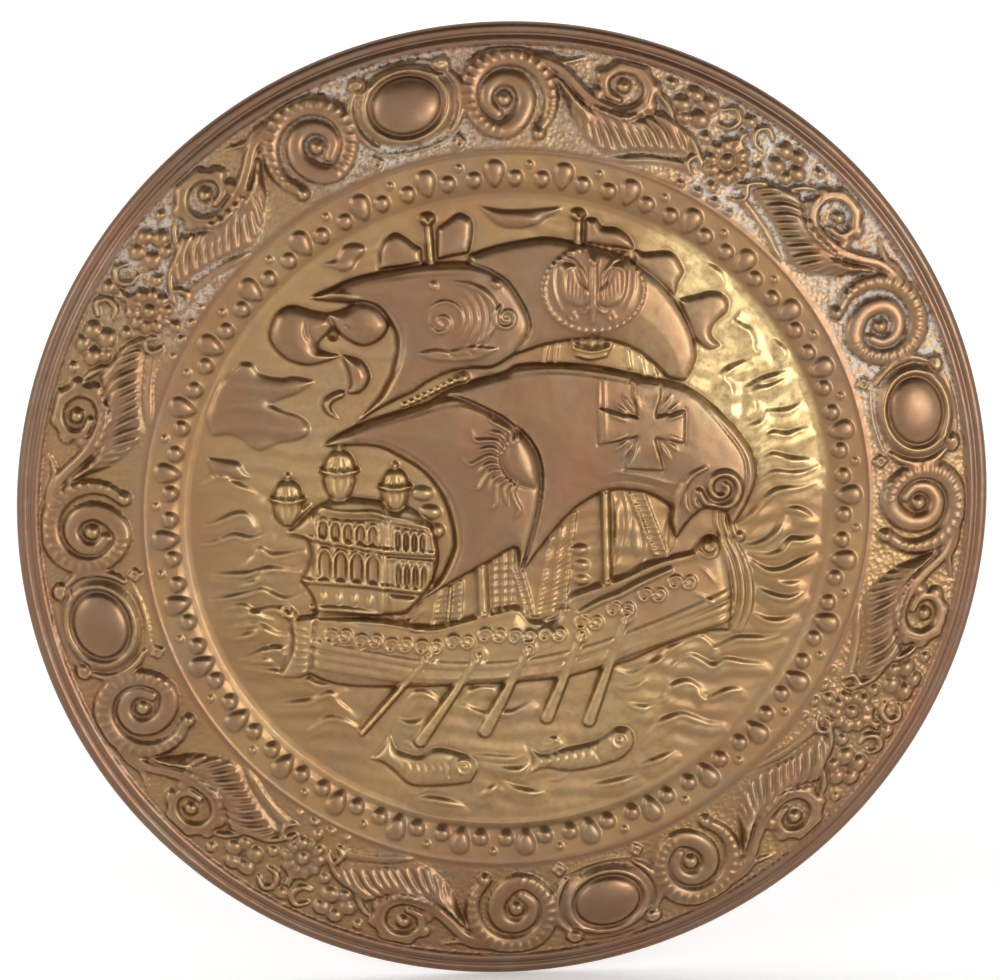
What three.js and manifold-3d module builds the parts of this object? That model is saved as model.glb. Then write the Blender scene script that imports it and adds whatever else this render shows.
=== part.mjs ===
// A round wall plaque of pressed brass sheet, 610 mm across: a galleon under sail in a sunk
// middle panel, a band of beads round it, and a border of scrolls, leaves and four oval bosses.
// Everything is one sheet of metal. The edge is rolled round a wire into a tube.
// Drawn with X right, Y up and Z towards the viewer, the wall at Z = 0, then stood upright.
import * as THREE from 'three';
import { mergeVertices } from 'three/addons/utils/BufferGeometryUtils.js';
import Module from 'manifold-3d';

const wasm = await Module();
wasm.setup();

// Rings of the dish, radii and heights in millimetres.
const RIM_RADIUS = 305;
const BACK_FLAT_RADIUS = 300.8;
const BORDER_OUTER_RADIUS = 289.5;
const BORDER_OUTER_HEIGHT = 7.2;
const BORDER_INNER_RADIUS = 230;
const BORDER_INNER_HEIGHT = 12.3;
const PANEL_RADIUS = 202.5;
const PANEL_HEIGHT = 7;
const SHEET = 1;
const DISH_SEGMENTS = 48;

// How far the raised forms start below the surface they stand on, and the shortest edge kept.
const SINK = 0.5;
const SMALLEST_EDGE = 0.1;

// Heights of the tops of the raised forms above the wall.
const STERN_SAIL_TOP = 15.2;
const MAIN_SAIL_TOP = 14.4;
const STERN_TOPSAIL_TOP = 14.8;
const MAIN_TOPSAIL_TOP = 13.2;
const MEDALLION_TOP = 14.2;
const HULL_TOP = 12.6;
const CASTLE_TOP = 12.9;
const PENNANT_TOP = 11;
const CLOUD_TOP = 9.4;
const FISH_TOP = 12;
const LANTERN_TOP = 12.6;

// Border: four oval bosses, and eight mirrored half sectors of scrollwork between them.
const BOSS_COUNT = 4;
const FIRST_BOSS_ANGLE = 75.5;
const BOSS_RADIUS = 263;
const SCROLL_RADIUS = 262;
const HALF_SECTOR_ANGLE = 45;

// Beads: 32 groups of one drop, two smaller drops and one dot.
const BEAD_GROUPS = 32;
const BEAD_STEP = 360 / BEAD_GROUPS;

// Height of the plain dish under a point.
function ground(x, y) {
  const radius = Math.hypot(x, y);
  if (radius < PANEL_RADIUS) return PANEL_HEIGHT;
  if (radius < 206) return PANEL_HEIGHT + (radius - PANEL_RADIUS) * 4.5 / 3.5;
  if (radius < BORDER_INNER_RADIUS) return 11.5 + (radius - 206) * 1.1 / 19;
  const share = (radius - BORDER_INNER_RADIUS) / (BORDER_OUTER_RADIUS - BORDER_INNER_RADIUS);
  return BORDER_INNER_HEIGHT + share * (BORDER_OUTER_HEIGHT - BORDER_INNER_HEIGHT);
}

// A closed mesh with shared corners, as a solid that can be joined and cut. Rounding to a
// thousandth of a millimetre first makes the corners on both sides of a seam equal.
function toSolid(geometry) {
  const bare = geometry.clone();
  bare.deleteAttribute('normal');
  bare.deleteAttribute('uv');
  bare.attributes.position.array.forEach((value, i, array) => {
    array[i] = Math.round(value * 1000) / 1000;
  });
  const merged = mergeVertices(bare, 1e-4);
  const index = merged.index.array;
  const corners = [];
  for (let i = 0; i < index.length; i += 3) {
    const [a, b, c] = [index[i], index[i + 1], index[i + 2]];
    if (a !== b && b !== c && c !== a) corners.push(a, b, c);
  }
  return new wasm.Manifold(new wasm.Mesh({
    numProp: 3,
    tolerance: SMALLEST_EDGE,
    vertProperties: new Float32Array(merged.attributes.position.array),
    triVerts: new Uint32Array(corners),
  }));
}

// The triangles of a solid as a geometry.
function toGeometry(solid) {
  const mesh = solid.getMesh();
  const positions = new Float32Array(mesh.vertProperties.length / mesh.numProp * 3);
  for (let i = 0; i < positions.length / 3; i++) {
    for (let k = 0; k < 3; k++) positions[3 * i + k] = mesh.vertProperties[i * mesh.numProp + k];
  }
  const geometry = new THREE.BufferGeometry();
  geometry.setAttribute('position', new THREE.BufferAttribute(positions, 3));
  geometry.setIndex(new THREE.BufferAttribute(new Uint32Array(mesh.triVerts), 1));
  geometry.computeVertexNormals();
  return geometry;
}

// An outline from runs of points. Each run is a smooth curve, and runs meet at corners.
function outline(step, ...runs) {
  const points = [];
  for (const run of runs) {
    const curve = new THREE.SplineCurve(run.map(([x, y]) => new THREE.Vector2(x, y)));
    const count = Math.max(run.length > 2 ? 3 : 1, Math.round(curve.getLength() / step));
    points.push(...curve.getSpacedPoints(count).slice(0, -1));
  }
  return new THREE.Shape(points);
}

// A raised form standing on a foot height, with its shoulders sloped in over the
// given rise and a flat top. Its underside lies a little below the foot.
function pad(shape, foot, top, shoulder, { inset = 0, rise = top - foot + 0.3 } = {}) {
  const base = foot - SINK;
  const geometry = new THREE.ExtrudeGeometry(shape, {
    depth: top - base - rise,
    bevelEnabled: true,
    bevelThickness: rise,
    bevelSize: shoulder,
    bevelOffset: -shoulder - inset,
    bevelSegments: 1,
    curveSegments: 1,
  });
  const position = geometry.attributes.position;
  for (let i = 0; i < position.count; i++) {
    position.setZ(i, Math.max(base, position.getZ(i) + base));
  }
  return geometry;
}

// Moves a form drawn above zero height onto the slope of the dish.
function lay(geometry) {
  const position = geometry.attributes.position;
  for (let i = 0; i < position.count; i++) {
    position.setZ(i, position.getZ(i) + ground(position.getX(i), position.getY(i)));
  }
  return geometry;
}

// A ridge along a smooth line, with a flat crest as wide as the given share of its foot.
function ridge(points, width, height, base, crest = 0.4, steps = 2 * points.length) {
  const path = points.map(([x, y]) => new THREE.Vector3(x, y, base(x, y)));
  const curve = new THREE.CatmullRomCurve3(path, false, 'catmullrom', 0.5);
  const half = width / 2;
  const section = crest > 0
    ? [[SINK, -half], [SINK, half], [-height, half * crest], [-height, -half * crest]]
    : [[SINK, -half], [SINK, half], [-height, 0]];
  return new THREE.ExtrudeGeometry(new THREE.Shape(section.map(([x, y]) => new THREE.Vector2(x, y))), {
    steps,
    bevelEnabled: false,
    extrudePath: curve,
  });
}

// A low round or oval dome with a flat underside.
function dome(x, y, z, halfWidth, halfLength, height, sides, bands) {
  const geometry = new THREE.SphereGeometry(1, sides, bands);
  geometry.rotateX(Math.PI / 2);
  geometry.scale(halfWidth, halfLength, height);
  const position = geometry.attributes.position;
  for (let i = 0; i < position.count; i++) {
    position.setZ(i, Math.max(0, position.getZ(i)) - SINK);
  }
  geometry.translate(x, y, z);
  return geometry;
}

// An oval outline.
function oval(x, y, halfWidth, halfHeight, count) {
  return new THREE.Shape(Array.from({ length: count }, (unused, i) => {
    const turn = i / count * 2 * Math.PI;
    return new THREE.Vector2(x + halfWidth * Math.cos(turn), y + halfHeight * Math.sin(turn));
  }));
}

// Union of many geometries in one step.
function join(geometries) {
  return wasm.Manifold.union(geometries.map(toSolid));
}

// The bare dish: sheet metal with a rolled edge, a hollow moulding inside it, a sloping border,
// a small ridge, the bead band and the sunk panel, then back along the rear face.
function makeDish() {
  const profile = [
    [0, PANEL_HEIGHT], [PANEL_RADIUS, PANEL_HEIGHT], [206, 11.5], [227.5, 13.2],
    [BORDER_INNER_RADIUS, BORDER_INNER_HEIGHT], [BORDER_OUTER_RADIUS, BORDER_OUTER_HEIGHT],
    [293.6, 9.8], [298, 6.6], [301.5, 8.5], [RIM_RADIUS, 4.4], [303, 0], [298.6, 0],
    [296.4, 5], [207, 10.5], [203.6, PANEL_HEIGHT - SHEET], [0, PANEL_HEIGHT - SHEET],
  ].map(([radius, height]) => new THREE.Vector2(radius, height));
  const geometry = new THREE.LatheGeometry(profile.reverse(), DISH_SEGMENTS);
  geometry.rotateX(Math.PI / 2);
  geometry.rotateZ(-FIRST_BOSS_ANGLE * Math.PI / 180);
  return toSolid(geometry);
}

// Drops of the bead band. A drop is wide at its outer end and narrows inwards.
function makeBeads() {
  const drop = (angle, middle, halfWidth, halfLength, height, sides, bands) => {
    const geometry = dome(0, 0, 0, halfWidth, halfLength, height, sides, bands);
    const position = geometry.attributes.position;
    for (let i = 0; i < position.count; i++) {
      position.setX(i, position.getX(i) * (1 + 0.35 * position.getY(i) / halfLength));
    }
    geometry.translate(0, middle, 0);
    lay(geometry);
    geometry.rotateZ(-angle * Math.PI / 180);
    return geometry;
  };
  const beads = [];
  for (let i = 0; i < BEAD_GROUPS; i++) {
    const angle = FIRST_BOSS_ANGLE + i * BEAD_STEP;
    beads.push(drop(angle, 214.4, 5.4, 7.8, 4.6, 5, 4));
    beads.push(drop(angle - 3.3, 211, 4.6, 4.5, 4.2, 4, 2));
    beads.push(drop(angle + 3.3, 211, 4.6, 4.5, 4.2, 4, 2));
  }
  return beads;
}

// One oval boss on its stepped frame, with a curl at each upper corner, drawn at the top.
function makeBoss() {
  return [
    lay(pad(oval(0, BOSS_RADIUS, 31, 26, 10), 0, 3.2, 3)),
    lay(dome(0, BOSS_RADIUS, 3.2, 20.5, 17, 4.6, 10, 4)),
    lay(dome(25, BOSS_RADIUS + 18, 0, 5.5, 6, 6, 5, 2)),
    lay(dome(-25, BOSS_RADIUS + 18, 0, 5.5, 6, 6, 5, 2)),
  ];
}

// Scrollwork right of a boss, drawn in arc length and radius from the boss axis, then bent
// round the centre. side = -1 mirrors it.
function makeHalfSector(side) {
  const bend = ([along, radius]) => {
    const turn = side * along / SCROLL_RADIUS;
    return [radius * Math.sin(turn), radius * Math.cos(turn)];
  };
  const leafOf = (step, height, shoulder, ...runs) => {
    const bent = outline(step, ...runs).getPoints().map((p) => new THREE.Vector2(...bend([p.x, p.y])));
    return lay(pad(new THREE.Shape(bent), 0, height, shoulder));
  };
  const bud = (along, radius, halfWidth, halfLength, height, sides, bands) => {
    const [x, y] = bend([along, radius]);
    return lay(dome(x, y, 0, halfWidth, halfLength, height, sides, bands));
  };
  const bandOf = (width, height, crest, steps, ...points) => (
    ridge(points.map(bend), width, height, ground, crest, steps)
  );
  return [
    // The large volute: a swelling eye, and an outer band that runs over the top and down its
    // far side to a knob.
    bud(59, 258, 11.5, 11.5, 6.6, 6, 2),
    bandOf(8, 4.6, 0, 4, [43, 270], [48, 281], [61, 284], [76, 278], [85, 263], [84, 249],
      [79, 239]),
    // The stem leaves the volute, passes under the small volute and curls up beside it.
    bandOf(6.5, 4, 0, 4, [92, 279], [102, 270], [115, 261], [131, 260], [143, 268], [143, 279],
      [134, 285]),
    bud(126, 275, 7, 7, 5.2, 6, 2),
    // The large feathered leaf.
    leafOf(44, 4.6, 3.6, [[97, 262], [106, 247], [120, 237], [140, 237], [162, 243], [182, 249]],
      [[182, 249], [164, 264]], [[164, 264], [140, 253], [116, 253], [97, 262]]),
    // Buds of the flower group, which is shared with the mirrored half.
    bud(190, 277, 8, 8, 5, 5, 2),
  ];
}

// All the border ornament, with the half sectors and bosses turned into their places.
function makeBorder() {
  const forms = [];
  for (let i = 0; i < BOSS_COUNT; i++) {
    const turn = -(FIRST_BOSS_ANGLE + i * 360 / BOSS_COUNT) * Math.PI / 180;
    for (const form of [...makeBoss(), ...makeHalfSector(1), ...makeHalfSector(-1)]) {
      forms.push(form.rotateZ(turn));
    }
  }
  const flowerTurn = FIRST_BOSS_ANGLE + HALF_SECTOR_ANGLE;
  for (let i = 0; i < BOSS_COUNT; i++) {
    const heart = lay(dome(0, 256, 0, 14, 11, 5.8, 6, 2));
    forms.push(heart.rotateZ(-(flowerTurn + i * 90) * Math.PI / 180));
  }
  return forms;
}

// Outlines of the four sails. Each one runs on under the sail in front of it.
const STERN_SAIL = outline(25,
  [[-100, 45], [-100, 56]],
  [[-100, 56], [-75, 65.5], [-48, 74.5], [-35, 76.5], [-13, 68.5], [8, 54], [18, 37],
    [19.3, 14], [17, -4], [11.5, -19]],
  [[11.5, -19], [4, -21.5], [-14, -29.5], [-32, -42]],
  [[-32, -42], [-41, -35]],
  [[-41, -35], [-36, -20], [-36, -6], [-42, 13], [-60, 33.5], [-84, 43.5], [-100, 45]]);
const MAIN_SAIL = outline(29,
  [[-45, 77.5], [-27, 84.5], [-5, 91], [28, 96.4], [70, 91.8], [108, 81.5], [135, 60],
    [149, 45], [155, 24], [147, 1]],
  [[147, 1], [128, 5], [117, 1]],
  [[117, 1], [109, -13]],
  [[109, -13], [102, -8]],
  [[102, -8], [102.5, 6]],
  [[102.5, 6], [88, 13.5], [65, 16.2], [45, 8], [29, -8], [14, -28]],
  [[14, -28], [5, -15], [8, 20], [-12, 50], [-45, 66]],
  [[-45, 66], [-45, 77.5]]);
const STERN_TOPSAIL = outline(25,
  [[-105, 134.5], [-105, 146]],
  [[-105, 146], [-88, 152], [-60, 157], [-27, 158.8], [-5, 149.5], [8, 132], [9, 114], [1, 103]],
  [[1, 103], [-14, 94.5], [-40, 91], [-62, 79], [-72, 70]],
  [[-72, 70], [-84, 69]],
  [[-84, 69], [-76, 86], [-71, 107], [-79, 126], [-92, 133], [-105, 134.5]]);
const MAIN_TOPSAIL = outline(27,
  [[-27, 163.5], [-9, 169.5], [24, 174], [58, 166.5], [83, 154], [101, 136], [113.5, 112],
    [112.5, 96], [109, 87]],
  [[109, 87], [98, 89]],
  [[98, 89], [76, 105.5], [55, 111.7], [28, 110], [-4, 101]],
  [[-4, 101], [-10, 130], [-27, 150]],
  [[-27, 150], [-27, 163.5]]);

// Each sail: outline, top height, shoulder width.
const SAILS = [
  { shape: MAIN_TOPSAIL, top: MAIN_TOPSAIL_TOP, shoulder: 4 },
  { shape: STERN_TOPSAIL, top: STERN_TOPSAIL_TOP, shoulder: 3 },
  { shape: MAIN_SAIL, top: MAIN_SAIL_TOP, shoulder: 3 },
  { shape: STERN_SAIL, top: STERN_SAIL_TOP, shoulder: 3 },
];

// The hull from the stern post to the bow, with its bulwark rising to the bow.
const HULL = outline(34,
  [[-122, -62], [-80, -66], [-52, -70], [-10, -67], [18, -69], [34, -62], [60, -44],
    [92, -31.5], [112, -25.5]],
  [[112, -25.5], [121, -17], [132, -17], [142, -33]],
  [[142, -33], [141, -76]],
  [[141, -76], [118, -79.5], [90, -90.5], [60, -99.5], [20, -106.5], [-25, -109], [-75, -110],
    [-126, -98]],
  [[-126, -98], [-122, -62]]);
const CASTLE = outline(34,
  [[-119, 8], [-97, 13], [-70, 8], [-50, -4]],
  [[-50, -4], [-45, -20], [-48, -38], [-64, -62]],
  [[-64, -62], [-121, -64]],
  [[-121, -64], [-126, -44]],
  [[-126, -44], [-131, -39.5]],
  [[-131, -39.5], [-126, -30], [-128, -12]],
  [[-128, -12], [-137, -9], [-128, -2], [-119, 8]]);
const RUDDER = outline(34,
  [[-121, -60], [-137, -64], [-136, -80], [-145, -101]],
  [[-145, -101], [-124, -100]],
  [[-124, -100], [-121, -60]]);

// The long streamer at the left: three round swells with bands between them, and a tail.
// Each swell: centre, half width, half height, height.
const STREAMER_SWELLS = [
  [-130, 115, 19.5, 18.5, 6],
  [-92, 121.5, 15.5, 13.5, 5.6],
  [-96, 90, 8.5, 11, 5],
];
const STREAMER_TAIL = [[-101, 81], [-113, 77], [-117, 71], [-106, 61.5]];

// Flags and pennants at the two mastheads.
const PENNANTS = [
  outline(16, [[-82, 155], [-81, 169], [-73, 177], [-55, 168]], [[-55, 168], [-55, 159]],
    [[-55, 159], [-82, 155]]),
  outline(16, [[-47, 180.5], [-34, 189], [-25, 182], [-27.5, 165.5]], [[-27.5, 165.5], [-47, 161.5]],
    [[-47, 161.5], [-47, 180.5]]),
  outline(18, [[43.5, 186], [51, 186.3], [56, 180.5], [64, 180.5], [74, 168]],
    [[74, 168], [55, 168]], [[55, 168], [43.5, 171.5]], [[43.5, 171.5], [43.5, 186]]),
  outline(16, [[74, 167.5], [90, 166.4], [104.5, 158], [101, 138]], [[101, 138], [83, 154], [74, 160]],
    [[74, 160], [74, 167.5]]),
  outline(18, [[103.5, 136], [122, 141.3], [134.5, 134.5], [130, 124], [123.5, 114], [131, 107]],
    [[131, 107], [121, 105], [113, 112.5]], [[113, 112.5], [103.5, 136]]),
];

// Low clouds: two lobes at the left edge, one under the top edge and a small one.
const CLOUDS = [
  outline(24, [[-166.5, 98], [-154.5, 91], [-134, 89], [-121.5, 85.6]], [[-121.5, 85.6], [-149, 71.5]],
    [[-149, 71.5], [-131, 64], [-126, 53], [-155, 43], [-185, 52]],
    [[-185, 52], [-187, 66], [-180, 86], [-166.5, 98]]),
  outline(22, [[-21, 195], [-9, 182], [14, 181.7], [30, 193]], [[30, 193], [4, 190], [-21, 195]]),
  outline(18, [[-117, 158.5], [-104.5, 168], [-92, 170], [-98, 156.5], [-117, 158.5]]),
];

// Two fish swimming to the right, below the ship.
const FISH = [
  outline(22, [[-88, -158], [-75, -142], [-66, -153], [-44, -154], [-36, -150], [-20, -159],
    [-21, -172], [-40, -176.3], [-66, -173], [-78, -160], [-88, -158]]),
  outline(22, [[13, -151], [24, -158], [46, -151], [58, -148], [68, -139], [81, -142], [80, -155],
    [64, -164], [40, -168], [10, -171], [17, -161], [13, -151]]),
];

// Masts, yards and other long ridges: points, width and height.
const RIDGES = [
  { points: [[-52.5, 183], [-51.5, 171], [-50, 159]], width: 5.5, height: 4.5 },
  { points: [[40, 187], [40, 172]], width: 5.5, height: 4.5 },
  { points: [[60, 17], [61, -10], [63, -41]], width: 6.5, height: 5 },
  { points: [[-19, -32], [-17, -64]], width: 8, height: 4.5 },
  { points: [[70, 14], [74, -4], [71, -30]], width: 9, height: 4.5 },
  { points: [[86, 14], [96, -4], [90, -27]], width: 8, height: 4 },
  { points: [[142, -17], [149, -32], [151, -52], [147, -76]], width: 9, height: 6 },
  { points: [[134, 6], [134, -6], [138, -17]], width: 8, height: 5.5 },
  { points: [[-118, 124], [-100, 126]], width: 13, height: 4 },
  { points: [[-118, 103], [-99, 99]], width: 8, height: 3.6 },
  { points: STREAMER_TAIL, width: 4, height: 3 },
];

// Crests of the sea and of the drifting sky, drawn as sharp low ridges.
const WAVES = [
  [[68, -101], [82, -104], [100, -91], [121, -80.5], [132, -87]],
  [[134, -87], [150, -81.5], [173, -80]],
  [[95, -123], [111, -110], [127, -122]],
  [[86, -147], [110, -132.5], [139, -138]],
  [[-148, -99], [-120, -107.5], [-106, -108]],
  [[-145, -120], [-113, -114.5], [-100, -126]],
  [[-127, -138], [-112, -130.5], [-94, -138]],
  [[-187, -52], [-156, -46], [-127, -47]],
  [[155, 43], [164, 50.5], [188, 54]],
  [[156, 24], [172, 36], [190, 30]],
  [[141, -8], [160, 6], [195, 19.5]],
  [[151, -29], [168, -38], [195, -27]],
  [[140, 127], [150, 104], [135, 90], [137, 66]],
  [[-18, -184], [-5, -175], [24, -182]],
];

// The five oars: the round port, then the end of the blade, and the blade's width.
const OARS = [
  { port: [-50.3, -88.8], end: [-92.8, -139.5], blade: 3.5 },
  { port: [-18.8, -88.8], end: [-54.5, -145], blade: 7 },
  { port: [12.6, -84.7], end: [-13, -140], blade: 8 },
  { port: [45.8, -76], end: [23.5, -133], blade: 8 },
  { port: [74, -65], end: [52, -134], blade: 8 },
];

// A tapered oar from its port down to the end of its blade.
function makeOar({ port, end, blade }) {
  const [dx, dy] = [end[0] - port[0], end[1] - port[1]];
  const length = Math.hypot(dx, dy);
  const side = [-dy / length, dx / length];
  const at = (share, half) => new THREE.Vector2(
    port[0] + share * dx + half * side[0],
    port[1] + share * dy + half * side[1],
  );
  const halves = [[0, 1.6], [1, blade / 2]];
  const points = [
    ...halves.map(([share, half]) => at(share, half)),
    ...halves.reverse().map(([share, half]) => at(share, -half)),
  ];
  return pad(new THREE.Shape(points), PANEL_HEIGHT, HULL_TOP + 1.4, 0.9, { rise: 1.2 });
}

// A stern lantern: pointed cap, eave, tapering glass and foot.
function makeLantern(x, y, size) {
  const profile = [[-4, -15], [-8, 0], [-10.5, 3], [-5, 12], [5, 12], [10.5, 3], [8, 0], [4, -15]];
  const shape = new THREE.Shape(profile.map(([dx, dy]) => new THREE.Vector2(x + size * dx, y + size * dy)));
  return pad(shape, PANEL_HEIGHT, LANTERN_TOP, 1.8, { rise: 2.6 });
}

// The heraldic bird on the medallion of the upper sail: body, two raised wings and a tail.
function makeBird() {
  const wing = (side) => outline(17,
    [[49.5, 154], [49.5 + side * 9, 158], [49.5 + side * 16, 163], [49.5 + side * 24, 152],
      [49.5 + side * 23, 138], [49.5 + side * 12, 133]],
    [[49.5 + side * 12, 133], [49.5, 140]],
    [[49.5, 140], [49.5, 154]]);
  const body = outline(22,
    [[49.5, 164], [55, 158], [55, 138], [49.5, 122], [44, 138], [44, 158], [49.5, 164]]);
  return [
    pad(wing(1), MEDALLION_TOP, MEDALLION_TOP + 1.4, 1.8),
    pad(wing(-1), MEDALLION_TOP, MEDALLION_TOP + 1.4, 1.8),
    pad(body, MEDALLION_TOP, MEDALLION_TOP + 2, 2),
  ];
}

// Emblems that stand on the sails: a half sun with rays, a cross with spreading arms, a bird
// on a medallion and a scroll.
function makeEmblems() {
  const forms = [...makeBird()];
  forms.push(pad(oval(49.5, 142.5, 30, 26, 12), MAIN_TOPSAIL_TOP, MEDALLION_TOP, 1));

  const sun = outline(12, [[1.5, 52], [9, 46], [14, 36], [15.5, 28], [14, 21.5]],
    [[14, 21.5], [4, 24], [-3, 33], [-4, 42], [1.5, 52]]);
  forms.push(pad(sun, STERN_SAIL_TOP, STERN_SAIL_TOP + 1.7, 3.4));
  for (let angle = 118; angle <= 258; angle += 28) {
    const turn = angle * Math.PI / 180;
    const [c, s] = [Math.cos(turn), Math.sin(turn)];
    const at = (along, across) => new THREE.Vector2(
      6 + along * c - across * s,
      36 + along * s + across * c,
    );
    const ray = new THREE.Shape([at(12, -2.2), at(34, 0), at(12, 2.2)]);
    forms.push(pad(ray, STERN_SAIL_TOP, STERN_SAIL_TOP + 1, 0.6));
  }

  const cross = new THREE.Shape([[77.5, 64], [75, 85], [93, 84], [91, 64.5], [108.5, 67],
    [108.5, 47.5], [91, 50], [96, 30], [72, 31.5], [77, 51], [54, 47], [54, 69],
  ].map(([x, y]) => new THREE.Vector2(x, y)));
  forms.push(pad(cross, MAIN_SAIL_TOP, MAIN_SAIL_TOP + 2, 1.4));

  const onSternTopsail = () => STERN_TOPSAIL_TOP;
  const scroll = [[-40, 148], [-24, 146], [-13, 134], [-14, 119], [-24, 110]];
  forms.push(ridge(scroll, 7, 1.8, onSternTopsail, 0, 4));
  forms.push(dome(-43, 126, STERN_TOPSAIL_TOP, 11, 11, 2.4, 7, 2));
  forms.push(dome(-2.5, 126, STERN_TOPSAIL_TOP, 7, 8, 2.4, 8, 2));
  const leaf = [[-60, 104], [-38, 102], [-20, 107], [-8, 107]];
  forms.push(ridge(leaf, 5, 1.6, onSternTopsail, 0, 4));
  return forms;
}

// Everything raised on the middle panel.
function makePanel() {
  const onPanel = () => PANEL_HEIGHT;
  const onHull = () => HULL_TOP;
  const onCastle = () => CASTLE_TOP;
  const stand = (top, shoulder, rise) => (shape) => pad(shape, PANEL_HEIGHT, top, shoulder, { rise });
  const forms = SAILS.map(({ shape, top, shoulder }) => pad(shape, PANEL_HEIGHT, top, shoulder));
  forms.push(stand(HULL_TOP, 2.4, 4)(HULL));
  forms.push(stand(CASTLE_TOP, 2.2, 4)(CASTLE));
  forms.push(stand(HULL_TOP - 2, 2.2, 3)(RUDDER));
  forms.push(...STREAMER_SWELLS.map(([x, y, halfWidth, halfHeight, height]) => (
    dome(x, y, PANEL_HEIGHT, halfWidth, halfHeight, height, 9, 4)
  )));
  forms.push(...PENNANTS.map(stand(PENNANT_TOP, 2.2, 3.2)));
  forms.push(...CLOUDS.map(stand(CLOUD_TOP, 3.5)));
  forms.push(...FISH.map(stand(FISH_TOP, 3, 4)));
  forms.push(...OARS.map(makeOar));
  forms.push(...OARS.map(({ port }) => dome(port[0], port[1], HULL_TOP, 4.6, 4.6, 2.6, 6, 2)));
  forms.push(makeLantern(-138.5, 10.5, 0.95), makeLantern(-106.5, 28, 1.05), makeLantern(-72, 18, 0.9));
  forms.push(...RIDGES.map(({ points, width, height }) => (
    ridge(points, width, height, onPanel, 0.5, points.length)
  )));
  forms.push(...WAVES.map((points) => ridge(points, 3.6, 1.7, onPanel, 0, points.length - 1)));
  forms.push(dome(-52.7, 185, PANEL_HEIGHT, 5.4, 3.8, 5.6, 6, 4));
  forms.push(dome(39.5, 188, PANEL_HEIGHT, 4.8, 3.4, 5.6, 6, 4));

  // Wales along the hull, and the decks of the castle.
  forms.push(ridge([[-121, -84], [-60, -95], [0, -97], [60, -89], [140, -64]], 3.6, 1.8, onHull, 0, 5));
  forms.push(ridge([[-121, -91], [-60, -102], [0, -103.5], [60, -96], [140, -71]], 3.6, 1.8, onHull, 0, 5));
  forms.push(ridge([[40, -60], [70, -48], [100, -34.5], [117, -29]], 5, 2, onHull, 0, 3));
  forms.push(ridge([[-136, -10], [-90, -18], [-49, -23]], 3.4, 1.8, onCastle, 0, 2));
  forms.push(ridge([[-129, -40], [-90, -43], [-55, -46.5]], 3.4, 1.8, onCastle, 0, 2));

  // Volutes at the bow and at the furled end of the great sail.
  forms.push(dome(126.5, -21, HULL_TOP - 1, 7.5, 7, 4.4, 8, 2));
  forms.push(dome(133.7, 18.5, MAIN_SAIL_TOP, 12, 12, 2.6, 10, 2));

  // The crown between the sails.
  const crown = outline(20,
    [[34, 111], [39, 101], [49.5, 96], [60, 101], [66, 109]],
    [[66, 109], [34, 111]]);
  forms.push(stand(PENNANT_TOP, 1.6, 2.4)(crown));
  return [...forms, ...makeEmblems()];
}

// The hollow behind each large form follows its front at the thickness of the sheet.
function makeHollows() {
  const behind = PANEL_HEIGHT - 1.2 * SHEET;
  const forms = SAILS.map(({ shape, top, shoulder }) => (
    pad(shape, behind, top - 1.2 * SHEET, shoulder, { inset: 1.6 })
  ));
  forms.push(pad(HULL, behind, HULL_TOP - 1.2 * SHEET, 2.4, { inset: 1.6, rise: 4 }));
  for (let i = 0; i < BOSS_COUNT; i++) {
    const cup = dome(0, BOSS_RADIUS, 6.3, 18, 14, 8.6, 8, 4);
    forms.push(cup.rotateZ(-(FIRST_BOSS_ANGLE + i * 360 / BOSS_COUNT) * Math.PI / 180));
  }
  return forms;
}

const pressed = makeDish()
  .add(join([...makeBeads(), ...makeBorder(), ...makePanel()]))
  .subtract(join(makeHollows()));

const plaque = new THREE.Mesh(
  toGeometry(pressed),
  new THREE.MeshStandardMaterial({ color: 0x8a6848, roughness: 0.36, metalness: 1 }),
);
plaque.name = 'plaque';

// Stood upright, front towards -Y, with the origin on the back of the rolled edge at the top,
// where it bears on the wall.
const upright = new THREE.Group();
upright.rotation.x = Math.PI / 2;
upright.position.z = -BACK_FLAT_RADIUS;
upright.add(plaque);

const model = new THREE.Group();
model.add(upright);

export default model;
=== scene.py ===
# %% [markdown]
# # A pressed brass wall plaque
#
# The plaque is one sheet of metal, so its whole front is one height field: a height in millimetres
# for every point of the disc. This notebook draws that field form by form, as a chaser works the
# sheet, then turns it into a closed surface, gives it aged brass and sets up a camera and lights
# for its picture.
#
# Everything is drawn as the viewer sees it: x to the right, y up, heights towards the viewer, the
# middle of the disc at (0, 0) and the wall at height 0.

# %% Libraries, sizes and the frame
import math

import bpy
import numpy as np
from mathutils import Matrix, Vector


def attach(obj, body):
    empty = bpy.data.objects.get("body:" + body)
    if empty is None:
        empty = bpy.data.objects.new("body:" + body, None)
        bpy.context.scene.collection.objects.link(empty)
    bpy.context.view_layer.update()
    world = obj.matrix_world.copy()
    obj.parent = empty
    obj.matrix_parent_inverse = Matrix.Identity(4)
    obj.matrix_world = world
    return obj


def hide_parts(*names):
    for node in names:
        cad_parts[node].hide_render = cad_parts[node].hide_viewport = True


# Lengths are in millimetres. Only finished vertices are turned to metres.
MM = 0.001
CENTRE_Z = -300.8  # the middle of the disc, below the top of the rolled edge
SHEET = 0.9  # how far the back lies behind the front
TRENCH = 0.7  # depth of the chased line round a raised form
HIGHEST = 16.8  # no point of the front is further from the wall
PANEL = 7.0  # the plain ground of the middle panel
FIELD_HALF = 306  # a field reaches a little past the rolled edge
CELL = 0.5
FIRST_BOSS = math.radians(75.5)  # the first oval boss, clockwise from the top

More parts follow.
